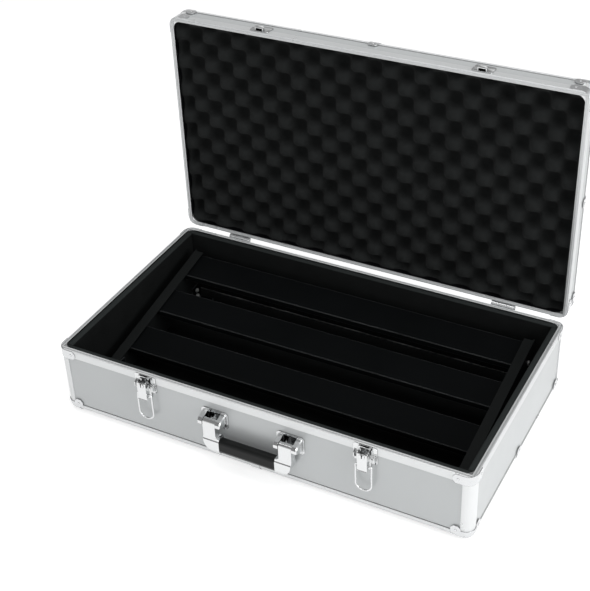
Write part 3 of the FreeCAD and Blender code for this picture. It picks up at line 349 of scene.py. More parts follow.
def overlaid(tree, place, colour, marks, soft, edge_wear_and_shading, crevice_shade, seam, room):
    """A colour with edge wear and shading, painted corner shade, a painted seam shadow and a black inside laid
    over it.
    """
    # Along the edges: wear, and a painted edge shading, a highlight on dark parts and a dark line on bright ones.
    if edge_wear_and_shading:
        amount, paint = edge_wear_and_shading
        uneven = value_between(tree, marks["Patches"], amount * 0.6, amount)
        colour = mixed_colour(tree, math_node(tree, "MULTIPLY", soft["Edge"], uneven), colour, paint)
    # Shut-in corners get a painted shade.
    if crevice_shade:
        amount, paint = crevice_shade
        colour = mixed_colour(tree, math_node(tree, "MULTIPLY", soft["Crevice"], amount), colour, paint)
    # The seam gets a painted shadow line.
    if seam:
        across, level, width, amount = seam
        line = place_group(tree, seam_line, Vector=place, Across=across, Level=level, Width=width).outputs["Line"]
        colour = mixed_colour(tree, math_node(tree, "MULTIPLY", line, amount), colour, SEAM_SHADOW)
    # Within a box the faces turn black: the bare inside of a board, a painted reflection of the lining on a rim's
    # lip, and painted shade in a slot and a keyway.
    if room:
        middle, half = room
        within = place_group(tree, inside_room, Vector=place, Middle=middle, Half_size=half).outputs["Inside"]
        colour = mixed_colour(tree, within, colour, BLACK_INSIDE_SHADE_AND_REFLECTION)
    return colour


# %% [markdown]
# One function makes a material for a hard part: a colour that shifts a little,
# a roughness that is broken up by handling, edges that are softened, and fine
# lines or grain as a bump. Each finish then gets its own numbers.

# %% A material for hard parts
def hard_finish(name, low, high, rough, metallic=0.0, edge=0.0004, grain=900.0, stretch=(1.0, 1.0, 1.0),
                bump=0.05, coat=0.0, specular=0.5, reach=0.008, edge_wear_and_shading=None, crevice_shade=None, room=None, seam=None):
    """A finish for metal, laminate, plastic or paint."""
    material, tree, shader, place = new_material(
        name, Metallic=metallic, Specular_IOR_Level=specular, Coat_Weight=coat, Coat_Roughness=0.08)
    lines = place_group(tree, drawn_lines, Vector=place, Stretch=stretch, Scale=grain).outputs["Lines"]
    marks = place_group(tree, handling_marks, Vector=place).outputs
    soft = place_group(tree, soft_edges, Radius=edge, Reach=reach).outputs
    fine = math_node(tree, "MULTIPLY", lines, 0.5)
    broad = math_node(tree, "MULTIPLY", marks["Patches"], 0.5)
    colour = mixed_colour(tree, math_node(tree, "ADD", fine, broad), low, high)
    colour = overlaid(tree, place, colour, marks, soft, edge_wear_and_shading, crevice_shade, seam, room)
    feed(tree, shader["Base Color"], colour)
    dull = value_between(tree, marks["Patches"], rough[0], rough[1])
    scratched = math_node(tree, "MULTIPLY", marks["Scratches"], 0.1)
    feed(tree, shader["Roughness"], math_node(tree, "ADD", dull, scratched))
    relief = add_node(tree, "ShaderNodeBump", {
        "Strength": bump, "Distance": 0.0002, "Height": lines, "Normal": soft["Normal"]})
    feed(tree, shader["Normal"], relief.outputs["Normal"])
    return material


# %% [markdown]
# Soft stuff has no worn edges and no shine. Its cells make both its colour and
# its bump. A paler band near its top is a painted highlight where light from
# above falls on it, and its hollows, where little light gets in, are a shade darker.

# %% A material for soft parts
def soft_finish(name, low, high, cell, cloud=25.0, bump=0.4, depth=0.0006, sheen=0.0, specular=0.2,
                lit_top_band=None, hollows=None):
    """A finish for foam, felt and rubber."""
    material, tree, shader, place = new_material(
        name, Specular_IOR_Level=specular, Sheen_Weight=sheen, Sheen_Roughness=0.5)
    cells = place_group(tree, soft_cells, Vector=place, Cell_scale=cell, Cloud_scale=cloud).outputs
    tone = math_node(tree, "ADD", math_node(tree, "MULTIPLY", cells["Cells"], 0.6),
                     math_node(tree, "MULTIPLY", cells["Clouds"], 0.4))
    colour = mixed_colour(tree, tone, low, high)
    # A paler band near the top: a painted highlight where light from above falls.
    if lit_top_band:
        across, level, width, paint = lit_top_band
        line = place_group(tree, seam_line, Vector=place, Across=across, Level=level, Width=width).outputs["Line"]
        colour = mixed_colour(tree, line, colour, paint)
    if hollows:
        top, bottom, paint = hollows
        how_deep = add_node(tree, "ShaderNodeSeparateXYZ", {0: place}).outputs["Y"]
        colour = mixed_colour(tree, value_between(tree, how_deep, 0.0, 0.45, top, bottom), colour, paint)
    feed(tree, shader["Base Color"], colour)
    feed(tree, shader["Roughness"], value_between(tree, cells["Cells"], 0.8, 1.0))
    relief = add_node(tree, "ShaderNodeBump", {"Strength": bump, "Distance": depth, "Height": cells["Cells"]})
    feed(tree, shader["Normal"], relief.outputs["Normal"])
    return material


# %% [markdown]
# ## The metals
# The frame is extruded aluminium with a satin skin, part mirror and part haze,
# and its lines follow its length. Some rims take a darker copy of it, a painted
# shade for rims that lie in less light. Two boxes at the openings of base and lid
# hold the inner lips that get a painted reflection of the dark lining.

# %% Aluminium
ALONG_X, ALONG_Y, ALONG_Z = (0.02, 1.0, 1.0), (1.0, 0.02, 1.0), (1.0, 1.0, 0.02)
ALUMINIUM = dict(
    low=(0.73, 0.745, 0.75), high=(0.83, 0.84, 0.845), rough=(0.26, 0.38), metallic=0.45, bump=0.12, specular=0.4,
    reach=0.003, crevice_shade=(0.25, (0.12, 0.12, 0.12)),
)
# A darker copy of the aluminium: painted shade for rims in less light.
ALUMINIUM_IN_SHADE = {**ALUMINIUM, "low": (0.60, 0.615, 0.62), "high": (0.70, 0.71, 0.715)}
profile_x = hard_finish("aluminium_along_x", stretch=ALONG_X, **ALUMINIUM)
profile_y = hard_finish("aluminium_along_y", stretch=ALONG_Y, **ALUMINIUM)
profile_z = hard_finish("aluminium_along_z", stretch=ALONG_Z, **ALUMINIUM)
LID_LIP_REFLECTION = ((0.0, 0.2000, 0.29815), (0.31435, 0.0150, 0.17435))
BASE_LIP_REFLECTION = ((0.0, 0.0, 0.1000), (0.31435, 0.17435, 0.0137))
base_rim_x = hard_finish("aluminium_base_along_x", stretch=ALONG_X, room=BASE_LIP_REFLECTION, **ALUMINIUM)
base_rim_y = hard_finish("aluminium_base_along_y", stretch=ALONG_Y, room=BASE_LIP_REFLECTION, **ALUMINIUM_IN_SHADE)
lid_rim_x = hard_finish("aluminium_lid_along_x", stretch=ALONG_X, room=LID_LIP_REFLECTION, **ALUMINIUM_IN_SHADE)
lid_rim_z = hard_finish("aluminium_lid_along_z", stretch=ALONG_Z, room=LID_LIP_REFLECTION, **ALUMINIUM_IN_SHADE)
print("aluminium in", len(bpy.data.materials), "runs")

# %% [markdown]
# Corners and clips are pressed steel with a plated skin. Latches and handle are
# chromed, so they mirror the room, and a painted shade turns their crevices nearly
# black. The slot of a latch plate and the keyway of a lock get a painted black
# shade from the same box mask.

# %% Plated steel and chrome
plated = hard_finish(
    "plated_steel", (0.68, 0.69, 0.70), (0.78, 0.79, 0.80), (0.16, 0.26), metallic=0.9, bump=0.03, edge=0.0006,
    edge_wear_and_shading=(0.7, (0.10, 0.10, 0.10)), reach=0.004, crevice_shade=(0.7, (0.06, 0.06, 0.06)),
)
CHROME = dict(
    low=(0.70, 0.71, 0.715), high=(0.80, 0.81, 0.815), rough=(0.05, 0.12), metallic=1.0, bump=0.02, edge=0.0004)
# The chrome's edges are painted darker: wear and painted edge shade.
CHROME_EDGE_WEAR_AND_SHADING = (0.3, (0.15, 0.15, 0.15))
NEARLY_BLACK = (0.02, 0.02, 0.02)
# Boxes of painted shade in the bail's slot and in the keyway.
BAIL_SLOT_SHADE = ((0.17, -0.1831, 0.1112), (0.0062, 0.0014, 0.0016))
KEYWAY_SHADE = ((0.17, -0.1914, 0.1025), (0.0009, 0.0011, 0.0027))
chrome = hard_finish("bright_chrome", edge_wear_and_shading=CHROME_EDGE_WEAR_AND_SHADING, crevice_shade=(0.92, NEARLY_BLACK), **CHROME)
chrome_plate = hard_finish(
    "bright_chrome_slot", edge_wear_and_shading=CHROME_EDGE_WEAR_AND_SHADING, crevice_shade=(0.92, NEARLY_BLACK), room=BAIL_SLOT_SHADE, **CHROME)
chrome_lever = hard_finish(
    "bright_chrome_lever", edge_wear_and_shading=CHROME_EDGE_WEAR_AND_SHADING, reach=0.0025, crevice_shade=(0.85, NEARLY_BLACK), **CHROME)
chrome_lock = hard_finish("bright_chrome_key", edge_wear_and_shading=CHROME_EDGE_WEAR_AND_SHADING, room=KEYWAY_SHADE, **CHROME)
chrome_arm = hard_finish("bright_chrome_cast", reach=0.004, crevice_shade=(0.6, (0.05, 0.05, 0.05)), **CHROME)

# %% [markdown]
# The board inside is folded steel under black powder paint. Along the folds of
# the slats, and fainter on the rails, a grey line is a painted highlight where the
# rounded edge catches the light. Its screws are zinc plated.

# %% Zinc and painted steel
zinc = hard_finish("zinc_screws", (0.66, 0.67, 0.68), (0.80, 0.80, 0.79), (0.25, 0.4),
                   metallic=0.35, bump=0.1, edge=0.0003)
zinc_dark = hard_finish("zinc_screws_dark", (0.10, 0.10, 0.10), (0.18, 0.18, 0.18), (0.35, 0.45),
                        metallic=0.4, bump=0.1, edge=0.0003)
# Pale grey along the slats' edges: a painted highlight.
slat_black = hard_finish("black_slats", (0.0015, 0.002, 0.002), (0.004, 0.0045, 0.005), (0.5, 0.65),
                         grain=1500.0, bump=0.25, edge=0.0010, specular=0.03, edge_wear_and_shading=(0.9, (0.22, 0.23, 0.235)))
rail_black = hard_finish("black_rails", (0.006, 0.007, 0.007), (0.011, 0.012, 0.012), (0.45, 0.6),
                         grain=1500.0, bump=0.25, edge=0.0007, specular=0.06, edge_wear_and_shading=(0.4, (0.03, 0.03, 0.03)))
print("hard finishes", len(bpy.data.materials))

# %% [markdown]
# ## Laminate, plastic and soft stuff
# The boards have a silver laminate outside, which is bare and black inside. A
# laminate is flat and a little glossy. Felt and foam are nearly black, because
# the many fibres and cells of soft stuff give back little light.

# %% Laminate
UPWARD, BACKWARD = (0.0, 0.0, 1.0), (0.0, 1.0, 0.0)
BASE_INSIDE = ((0.0, 0.0, 0.06), (0.3165, 0.1765, 0.2))
LID_INSIDE = ((0.0, 0.1, 0.29815), (0.3165, 0.1255, 0.1765))
SILVER = dict(low=(0.50, 0.52, 0.525), high=(0.57, 0.585, 0.59), rough=(0.30, 0.40), metallic=0.3,
              grain=1400.0, bump=0.08, edge=0.0002, coat=0.15)
# On the laminate the seam is a painted shadow along the profile's lip.
laminate = hard_finish("silver_laminate", room=BASE_INSIDE, seam=(UPWARD, 0.0144, 0.0006, 0.9), **SILVER)
laminate_lid = hard_finish("silver_laminate_lid", room=LID_INSIDE, seam=(BACKWARD, 0.2137, 0.0006, 0.9), **SILVER)

# %% Plastic, rubber, felt and foam
grip_black = hard_finish("black_grip", (0.003, 0.0035, 0.0035), (0.007, 0.0078, 0.008), (0.30, 0.42),
                         grain=1300.0, bump=0.2, edge=0.0006, specular=0.22)
rubber = soft_finish("black_rubber", (0.006, 0.006, 0.006), (0.018, 0.018, 0.018), 1400.0, bump=0.2, depth=0.0002)
felt = soft_finish("black_felt", (0.002, 0.0023, 0.0023), (0.011, 0.012, 0.012), 1800.0,
                   cloud=40.0, bump=0.5, specular=0.05, lit_top_band=(UPWARD, 0.1122, 0.0013, (0.022, 0.025, 0.025)))
foam_grey = soft_finish("grey_foam", (0.0025, 0.003, 0.003), (0.0175, 0.0195, 0.0195), 1100.0,
                        cloud=9.0, bump=0.9, depth=0.001, sheen=0.02,
                        hollows=(0.190, 0.204, (0.0008, 0.001, 0.001)))
print("finishes", len(bpy.data.materials))

# %% [markdown]
# ## Finishes on the drawn parts
# The lines on a profile follow its length, so the finish depends on which way
# the part runs while the lid stands open.

# %% Give each drawn part its finish
SLOT_FINISH = {
    "silver_laminate": laminate, "plated_steel": plated, "bright_chrome": chrome, "black_grip": grip_black,
    "black_rubber": rubber, "black_lining": felt, "grey_foam": foam_grey, "zinc_screws": zinc,
    "black_steel": slat_black, "aluminium_profile": profile_x,
}
NODE_FINISH = {
    "base_edges_short": profile_y, "base_rims_short": base_rim_y, "base_rims_long": base_rim_x,
    "base_corner_posts": profile_z, "lid_corner_posts": profile_y, "lid_edges_short": profile_z,
    "lid_rims_short": lid_rim_z, "lid_rims_long": lid_rim_x,
    "lid_panel_top": laminate_lid, "lid_panel_front": laminate_lid, "lid_panel_back": laminate_lid,
    "lid_panel_left": laminate_lid, "lid_panel_right": laminate_lid,
    "board_slat_screws": zinc_dark, "board_rail_left": rail_black, "board_rail_right": rail_black,
    "latch_lever_left": chrome_lever, "latch_lever_right": chrome_lever, "handle_arms": chrome_arm,
    "latch_plates": chrome_plate, "latch_lock_left": chrome_lock, "latch_lock_right": chrome_lock,
}
for name, node in nodes.items():
    finish = NODE_FINISH.get(name) or SLOT_FINISH[slot_of[name]]
    node.data.materials.clear()
    node.data.materials.append(finish)
print("finishes on", len(nodes), "nodes")


# %% [markdown]
# ## Finished pieces
# A piece that stands for a drawn part rides on the same body and keeps its
# slot. Whatever made it, it ends as a plain mesh at the origin.

# %% Tools for finished pieces
def add_object(name, mesh):
    """A mesh as an object at the origin."""
    made = bpy.data.objects.new(name, mesh)
    bpy.context.collection.objects.link(made)
    return made


def mesh_from(bm, name):
    """A mesh from an edited one, which goes."""
    mesh = bpy.data.meshes.new(name)
    bm.to_mesh(mesh)
    bm.free()
    return mesh


def plain_mesh(host, name):
    """The host's evaluated shape as a plain mesh object; the host goes."""
    evaluated = host.evaluated_get(bpy.context.evaluated_depsgraph_get())
    mesh = bpy.data.meshes.new_from_object(evaluated)
    host.modifiers.clear()
    bpy.data.objects.remove(host)
    mesh.name = name
    return add_object(name, mesh)


def stand_for(piece, *names):
    """Let a piece ride for the drawn nodes that it replaces."""
    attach(piece, body_of[names[0]])
    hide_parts(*names)


def triangles_of(piece):
    """How many triangles a piece has."""
    return sum(len(polygon.vertices) - 2 for polygon in piece.data.polygons)


# %% [markdown]
# A Geometry Nodes modifier takes its values by the sockets' identifiers, which
# are looked up by name. Each tree ends in the same way: shading, instances made
# real, and the material.

# %% Run a tree, and end a tree
def grow(host, tree, name, values):
    """The plain mesh that a tree makes of its host."""
    modifier = host.modifiers.new("grow", "NODES")
    modifier.node_group = tree
    for item in tree.interface.items_tree:
        if item.item_type == "SOCKET" and item.in_out == "INPUT" and item.name in values:
            modifier[item.identifier] = values[item.name]
    return plain_mesh(host, name)


def end_tree(tree, shape, given, result, smooth=True):
    """Shade a shape, make it real, give it its finish and put it out."""
    if smooth:
        shape = add_node(tree, "GeometryNodeSetShadeSmooth", {"Geometry": shape}).outputs[0]
    real = add_node(tree, "GeometryNodeRealizeInstances", {0: shape})
    paint = add_node(tree, "GeometryNodeSetMaterial", {"Geometry": real.outputs[0], "Material": given["Finish"]})
    feed(tree, result["Geometry"], paint.outputs[0])


def split_position(tree):
    """The three coordinates of each point."""
    position = add_node(tree, "GeometryNodeInputPosition").outputs[0]
    return add_node(tree, "ShaderNodeSeparateXYZ", {0: position}).outputs


# %% [markdown]
# ## The foam in the lid
# Egg-crate foam is a block pulled through rollers while a blade splits it, so
# its face is one wave across another, with round peaks a finger's breadth high. It
# could be sculpted, but it follows a rule, so Geometry Nodes make it: a block
# of fine squares whose front points move in by the product of two waves. Along
# its border the sheet is squeezed by the frame, and the wave is shallower.

# %% The block of the foam's tree
GEOMETRY, MATERIAL, INTEGER = "NodeSocketGeometry", "NodeSocketMaterial", "NodeSocketInt"
wave_tree, given, result = add_group(
    "egg_crate", "GeometryNodeTree",
    [("Geometry", GEOMETRY, None), ("Length", FLOAT, 0.6), ("Height", FLOAT, 0.3), ("Thickness", FLOAT, 0.03),
     ("Points along", INTEGER, 100), ("Points up", INTEGER, 60), ("Pitch along", FLOAT, 0.05),
     ("Pitch up", FLOAT, 0.05), ("Peak along", FLOAT, 0.0), ("Peak up", FLOAT, 0.0),
     ("Wave depth", FLOAT, 0.02), ("Sharpness", FLOAT, 1.4), ("Border", FLOAT, 0.006), ("Finish", MATERIAL, None)],
    [("Geometry", GEOMETRY)],
)
block_size = add_node(wave_tree, "ShaderNodeCombineXYZ", {
    "X": given["Length"], "Y": given["Height"], "Z": given["Thickness"]})
block = add_node(wave_tree, "GeometryNodeMeshCube", {
    "Size": block_size.outputs[0], "Vertices X": given["Points along"], "Vertices Y": given["Points up"],
    "Vertices Z": 2})
apart = split_position(wave_tree)


def reckon(operation, *values):
    """A sum in the foam's tree."""
    return math_node(wave_tree, operation, *values)


# %% One wave across another
def wave(position, peak, pitch):
    """The cosine of a place, from a peak, over its pitch."""
    turns = reckon("DIVIDE", reckon("SUBTRACT", position, peak), pitch)
    return reckon("COSINE", reckon("MULTIPLY", turns, math.tau))


wave_along = wave(apart["X"], given["Peak along"], given["Pitch along"])
wave_up = wave(apart["Y"], given["Peak up"], given["Pitch up"])
crossed = reckon("MULTIPLY", wave_along, wave_up)
steepened = reckon("TANH", reckon("MULTIPLY", crossed, given["Sharpness"]))
wave_level = reckon("DIVIDE", steepened, reckon("TANH", given["Sharpness"]))
sunk = reckon("MULTIPLY", reckon("SUBTRACT", wave_level, 1.0), 0.5)


# %% The squeezed border, and the front moved in
def to_border(position, length):
    """How far a place is from the end of a length that is centred on zero."""
    return reckon("SUBTRACT", reckon("MULTIPLY", length, 0.5), reckon("ABSOLUTE", position))


nearest = reckon("MINIMUM", to_border(apart["X"], given["Length"]), to_border(apart["Y"], given["Height"]))
freedom = reckon("DIVIDE", nearest, given["Border"])
freedom = reckon("MINIMUM", reckon("ADD", reckon("MULTIPLY", freedom, 0.7), 0.3), 1.0)
inward = reckon("MULTIPLY", reckon("MULTIPLY", sunk, freedom), given["Wave depth"])
inward = reckon("MULTIPLY", inward, reckon("GREATER_THAN", apart["Z"], 0.0))
offset = add_node(wave_tree, "ShaderNodeCombineXYZ", {"Z": inward})
shifted = add_node(wave_tree, "GeometryNodeSetPosition", {
    "Geometry": block.outputs["Mesh"], "Offset": offset.outputs[0]})
end_tree(wave_tree, shifted.outputs[0], given, result)

# %% The foam block
foam_low, foam_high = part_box("lid_foam")
foam_size = foam_high - foam_low
foam_step = 2.8 * MM
foam = grow(add_object("foam_host", bpy.data.meshes.new("foam_host")), wave_tree, "foam_waves", {
    "Length": foam_size.x, "Height": foam_size.z, "Thickness": foam_size.y,
    "Points along": int(foam_size.x / foam_step), "Points up": int(foam_size.z / foam_step),
    "Pitch along": 48.8 * MM, "Pitch up": 46.4 * MM, "Peak along": 9.1 * MM, "Peak up": -9.8 * MM,
    "Wave depth": 20.0 * MM, "Sharpness": 1.9, "Border": 7.0 * MM, "Finish": foam_grey,
})
foam_middle = (foam_low + foam_high) / 2
foam.data.transform(Matrix.Translation(foam_middle) @ Matrix.Rotation(math.radians(90), 4, "X"))
stand_for(foam, "lid_foam")
print("foam triangles", triangles_of(foam))


# %% [markdown]
# ## The pads on the walls and the mat
# The walls are lined with felt glued over board. A flat box would look like
# wood, so each pad gets round edges and a face that is a little uneven. Felt
# is wrapped over the top edge of the board and stands up to the rim's lip.

# %% A felt pad
WAVES_X, WAVES_Y, WAVES_Z = 61, 47, 83  # radians a metre
pad_edge, pad_step, pad_uneven = 2.2 * MM, 30 * MM, 0.3 * MM


def cut_across(bm, place, axis):
    """Cut a whole mesh by a plane square to an axis."""
    normal = [0, 0, 0]
    normal[axis] = 1
    everything = bm.verts[:] + bm.edges[:] + bm.faces[:]
    bmesh.ops.bisect_plane(bm, geom=everything, plane_co=place, plane_no=normal, dist=1e-6)


def felt_pad(name, low, high, edge=pad_edge, uneven=pad_uneven):
    """A pad with rounded edges and a slightly uneven face."""
    size = high - low
    bm = bmesh.new()
    bmesh.ops.create_cube(bm, size=1.0)
    bmesh.ops.scale(bm, vec=size - Vector((edge, edge, edge)) * 0.02, verts=bm.verts)
    bmesh.ops.translate(bm, vec=(low + high) / 2, verts=bm.verts)
    bmesh.ops.bevel(bm, geom=bm.edges[:], offset=edge, segments=3, profile=0.5, affect="EDGES")
    for axis in range(3):
        spaces = max(1, int(round(size[axis] / pad_step)))
        for i in range(1, spaces):
            at = low.copy()
            at[axis] += size[axis] * i / spaces
            cut_across(bm, at, axis)
    bm.normal_update()
    for v in bm.verts:
        swell = math.sin(v.co.x * WAVES_X) * math.sin(v.co.z * WAVES_Z + v.co.y * WAVES_Y) * 0.5 - 0.5
        v.co += v.normal * (swell * uneven)
    mesh = mesh_from(bm, name)
    for polygon in mesh.polygons:
        polygon.use_smooth = True
    mesh.materials.append(felt)
    return add_object(name, mesh)


# %% The pads in front and at the back
felt_rise = 2.2 * MM
for node, name in (("lining_front", "felt_front"), ("lining_back", "felt_back")):
    low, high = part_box(node)
    high.z += felt_rise
    pad = felt_pad(name, low, high)
    stand_for(pad, node)
    print(name, "triangles", triangles_of(pad))

# %% [markdown]
# The two side pads are one node, so they are joined to one piece. They are a
# little thicker than their boards, which shows as a wider dark border.

# %% The side pads and the mat
side_low, side_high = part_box("lining_sides")
side_high.z += felt_rise
side_thickness = 9.5 * MM
left_end, right_start = side_low.x + side_thickness, side_high.x - side_thickness
both = [
    felt_pad("felt_left", side_low, Vector((left_end, side_high.y, side_high.z))),
    felt_pad("felt_right", Vector((right_start, side_low.y, side_low.z)), side_high),
]
with bpy.context.temp_override(active_object=both[0], selected_editable_objects=both):
    bpy.ops.object.join()
sides = both[0]
sides.name = "felt_sides"
stand_for(sides, "lining_sides")
mat_low, mat_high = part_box("floor_mat")
mat = felt_pad("felt_mat", mat_low, mat_high, edge=1.0 * MM, uneven=0.2 * MM)
stand_for(mat, "floor_mat")
print("side pads triangles", triangles_of(sides), "mat triangles", triangles_of(mat))

# %% [markdown]
# ## Sheet metal with rounded edges
# Pressed and cast metal has no knife edges. The drawn hardware is flat-faced,
# so each piece of it gets a copy whose edges are rolled over by a Bevel: fine
# on thin sheet, wider on the castings of the handle and on the moulded grip.
# The drawn arms of the handle are plates, so theirs also narrow in a curve.

# %% The sweep of the handle's arms
def sweep_arms(bm):
    """Let each cast arm narrow in a curve towards the grip's end."""
    root, top, low = 50.0 * MM, 60.0 * MM, 28.0 * MM
    steps, tip_share, fall, bend = 12, 0.28, 0.98, 2.2
    for i in range(1, steps):
        cut_across(bm, (0, 0, low + (top - low) * i / steps), 2)
    for v in bm.verts:
        if abs(v.co.x) > root and v.co.z < top:
            down = min(1.0, (top - v.co.z) / (top - low))
            keep = tip_share + (1 - tip_share) * math.sqrt(1.0 - fall * down ** bend)
            v.co.x = math.copysign(root + (abs(v.co.x) - root) * keep, v.co.x)


# %% A copy with rolled edges
def whole_faces(mesh):
    """A drawn mesh with its loose triangles merged back to whole faces."""
    bm = bmesh.new()
    bm.from_mesh(mesh)
    bmesh.ops.remove_doubles(bm, verts=bm.verts, dist=1e-6)
    bmesh.ops.dissolve_limit(bm, angle_limit=math.radians(1.0), verts=bm.verts, edges=bm.edges)
    return bm


def rolled_copy(node, width, segments):
    """A copy of a drawn node with its sharp edges rounded."""
    steep = math.radians(38.0)
    bm = whole_faces(nodes[node].data)
    if node == "handle_arms":
        sweep_arms(bm)
    mesh = mesh_from(bm, "rolled_" + node)
    for polygon in mesh.polygons:
        polygon.use_smooth = True
    mesh.set_sharp_from_angle(angle=steep)
    host = add_object("host_" + node, mesh)
    roll = host.modifiers.new("roll", "BEVEL")
    roll.width = width
    roll.segments = segments
    roll.limit_method = "ANGLE"
    roll.angle_limit = steep
    roll.use_clamp_overlap = True
    roll.harden_normals = True
    piece = plain_mesh(host, "rolled_" + node)
    piece.data.materials.clear()
    piece.data.materials.append(nodes[node].data.materials[0])
    stand_for(piece, node)
    return piece


# %% Roll the hardware's edges
ROLLED_MM = {
    "latch_plates": 0.4, "latch_lever_left": 0.5, "latch_lever_right": 0.5,
    "latch_lock_left": 0.4, "latch_lock_right": 0.4, "lid_keepers": 0.4,
    "base_corner_caps": 0.35, "lid_corner_caps": 0.35, "base_edge_clips": 0.3, "lid_edge_clips": 0.3,
    "handle_brackets": 1.0, "handle_arms": 1.5, "handle_grip": 2.5,
    "hinge_base_leaves": 0.3, "hinge_lid_leaves": 0.3, "feet": 1.0,
}
for node, width in ROLLED_MM.items():
    piece = rolled_copy(node, width * MM, 4 if width >= 1.0 else 2)
    print(node, "triangles", triangles_of(piece))

# %% [markdown]
# ## The wire bails
# Each latch pulls the lid down with a loop of steel wire, bent round two pegs.
# Its line is five straight runs, and a Geometry Nodes tree rounds its corners
# and sweeps the wire along it, so that wire and bends can change by number.

# %% The tree for bent wire
wire_tree, given, result = add_group(
    "bent_wire", "GeometryNodeTree",
    [("Geometry", GEOMETRY, None), ("Wire radius", FLOAT, 0.0015), ("End bend", FLOAT, 0.01),
     ("Shoulder bend", FLOAT, 0.002), ("Shoulder level", FLOAT, 0.07), ("Sides", INTEGER, 16),
     ("Steps in a bend", INTEGER, 14), ("Finish", MATERIAL, None)],
    [("Geometry", GEOMETRY)],
)
run = add_node(wire_tree, "GeometryNodeMeshToCurve", {"Mesh": given["Geometry"]})
at_shoulder = math_node(wire_tree, "GREATER_THAN", split_position(wire_tree)["Z"], given["Shoulder level"])
bend_size = add_node(wire_tree, "GeometryNodeSwitch", {
    "Switch": at_shoulder, "False": given["End bend"], "True": given["Shoulder bend"]}, input_type="FLOAT")
bent = add_node(wire_tree, "GeometryNodeFilletCurve", {
    "Curve": run.outputs[0], "Radius": bend_size.outputs[0], "Count": given["Steps in a bend"],
    "Limit Radius": True}, mode="POLY")
ring = add_node(wire_tree, "GeometryNodeCurvePrimitiveCircle", {
    "Resolution": given["Sides"], "Radius": given["Wire radius"]})
swept = add_node(wire_tree, "GeometryNodeCurveToMesh", {
    "Curve": bent.outputs[0], "Profile Curve": ring.outputs[0], "Fill Caps": True})
end_tree(wire_tree, swept.outputs[0], given, result)

# %% The two bails
BAIL_LINE = [(-5.35, 84.0), (-11.6, 84.0), (-11.6, 40.0), (11.6, 40.0), (11.6, 84.0), (5.35, 84.0)]
bail_front = -186.5
for side, latch_middle in (("left", -170.0), ("right", 170.0)):
    line_mesh = bpy.data.meshes.new("bail_line_" + side)
    points = [in_mm((latch_middle + x, bail_front, z)) for x, z in BAIL_LINE]
    line_mesh.from_pydata(points, [(i, i + 1) for i in range(len(points) - 1)], [])
    wire = grow(add_object("bail_host_" + side, line_mesh), wire_tree, "wire_bail_" + side, {
        "Wire radius": 1.42 * MM, "End bend": 11.0 * MM, "Shoulder bend": 2.6 * MM,
        "Shoulder level": 70 * MM, "Sides": 16, "Steps in a bend": 14, "Finish": chrome,
    })
    stand_for(wire, "latch_bail_" + side)
    print(side, "bail triangles", triangles_of(wire))

# %% [markdown]
# ## The rivets
# Dozens of the same small head, each square to the sheet that it holds. One
# domed head is made once, a ball whose lower half is pressed flat on a short
# shank, and it is set on points that know which way is out.

# %% The tree for domed heads
head_tree, given, result = add_group(
    "domed_heads", "GeometryNodeTree",
    [("Geometry", GEOMETRY, None), ("Head radius", FLOAT, 0.002), ("Head height", FLOAT, 0.001),
     ("Shank radius", FLOAT, 0.001), ("Shank length", FLOAT, 0.002), ("Finish", MATERIAL, None)],
    [("Geometry", GEOMETRY)],
)
ball = add_node(head_tree, "GeometryNodeMeshUVSphere", {"Segments": 20, "Rings": 10, "Radius": 1.0})
apart = split_position(head_tree)
domed = add_node(head_tree, "ShaderNodeCombineXYZ", {
    "X": math_node(head_tree, "MULTIPLY", apart["X"], given["Head radius"]),
    "Y": math_node(head_tree, "MULTIPLY", apart["Y"], given["Head radius"]),
    "Z": math_node(head_tree, "MULTIPLY", math_node(head_tree, "MAXIMUM", apart["Z"], 0.0), given["Head height"]),
})
dome = add_node(head_tree, "GeometryNodeSetPosition", {
    "Geometry": ball.outputs[0], "Position": domed.outputs[0]})

# %% The shank
shank = add_node(head_tree, "GeometryNodeMeshCylinder", {
    "Vertices": 16, "Radius": given["Shank radius"], "Depth": given["Shank length"]})
drop = add_node(head_tree, "ShaderNodeCombineXYZ", {
    "Z": math_node(head_tree, "MULTIPLY", given["Shank length"], -0.5)})
below = add_node(head_tree, "GeometryNodeTransform", {
    "Geometry": shank.outputs[0], "Translation": drop.outputs[0]})
rivet = add_node(head_tree, "GeometryNodeJoinGeometry", {0: dome.outputs[0]})
feed(head_tree, rivet.inputs[0], below.outputs[0])

# %% Heads on the points, turned outward
outward = add_node(head_tree, "GeometryNodeInputNamedAttribute", {"Name": "out"}, data_type="FLOAT_VECTOR")
turn = add_node(head_tree, "FunctionNodeAlignRotationToVector", {"Vector": outward.outputs[0]}, axis="Z")
points_of = add_node(head_tree, "GeometryNodeMeshToPoints", {"Mesh": given["Geometry"]})
scatter = add_node(head_tree, "GeometryNodeInstanceOnPoints", {
    "Points": points_of.outputs[0], "Instance": rivet.outputs[0], "Rotation": turn.outputs[0]})
end_tree(head_tree, scatter.outputs[0], given, result, smooth=False)


# %% [markdown]
# The places come from the drawn nodes: each loose island of a node's mesh is
# one rivet. The way out is the normal of its widest flat face, turned away
# from the middle of the case.

# %% Find the rivets of a node
def islands_of(mesh):
    """The loose islands of a mesh, each as its faces' corners and its widest face's normal."""
    bm = whole_faces(mesh)
    seen_faces, found = set(), []
    for first in bm.faces:
        if first in seen_faces:
            continue
        island, todo = [], [first]
        seen_faces.add(first)
        while todo:
            face = todo.pop()
            island.append(face)
            for edge in face.edges:
                for other in edge.link_faces:
                    if other not in seen_faces:
                        seen_faces.add(other)
                        todo.append(other)
        corners = [v.co.copy() for face in island for v in face.verts]
        widest = max(island, key=lambda face: face.calc_area())
        found.append((corners, widest.normal.copy()))
    bm.free()
    return found


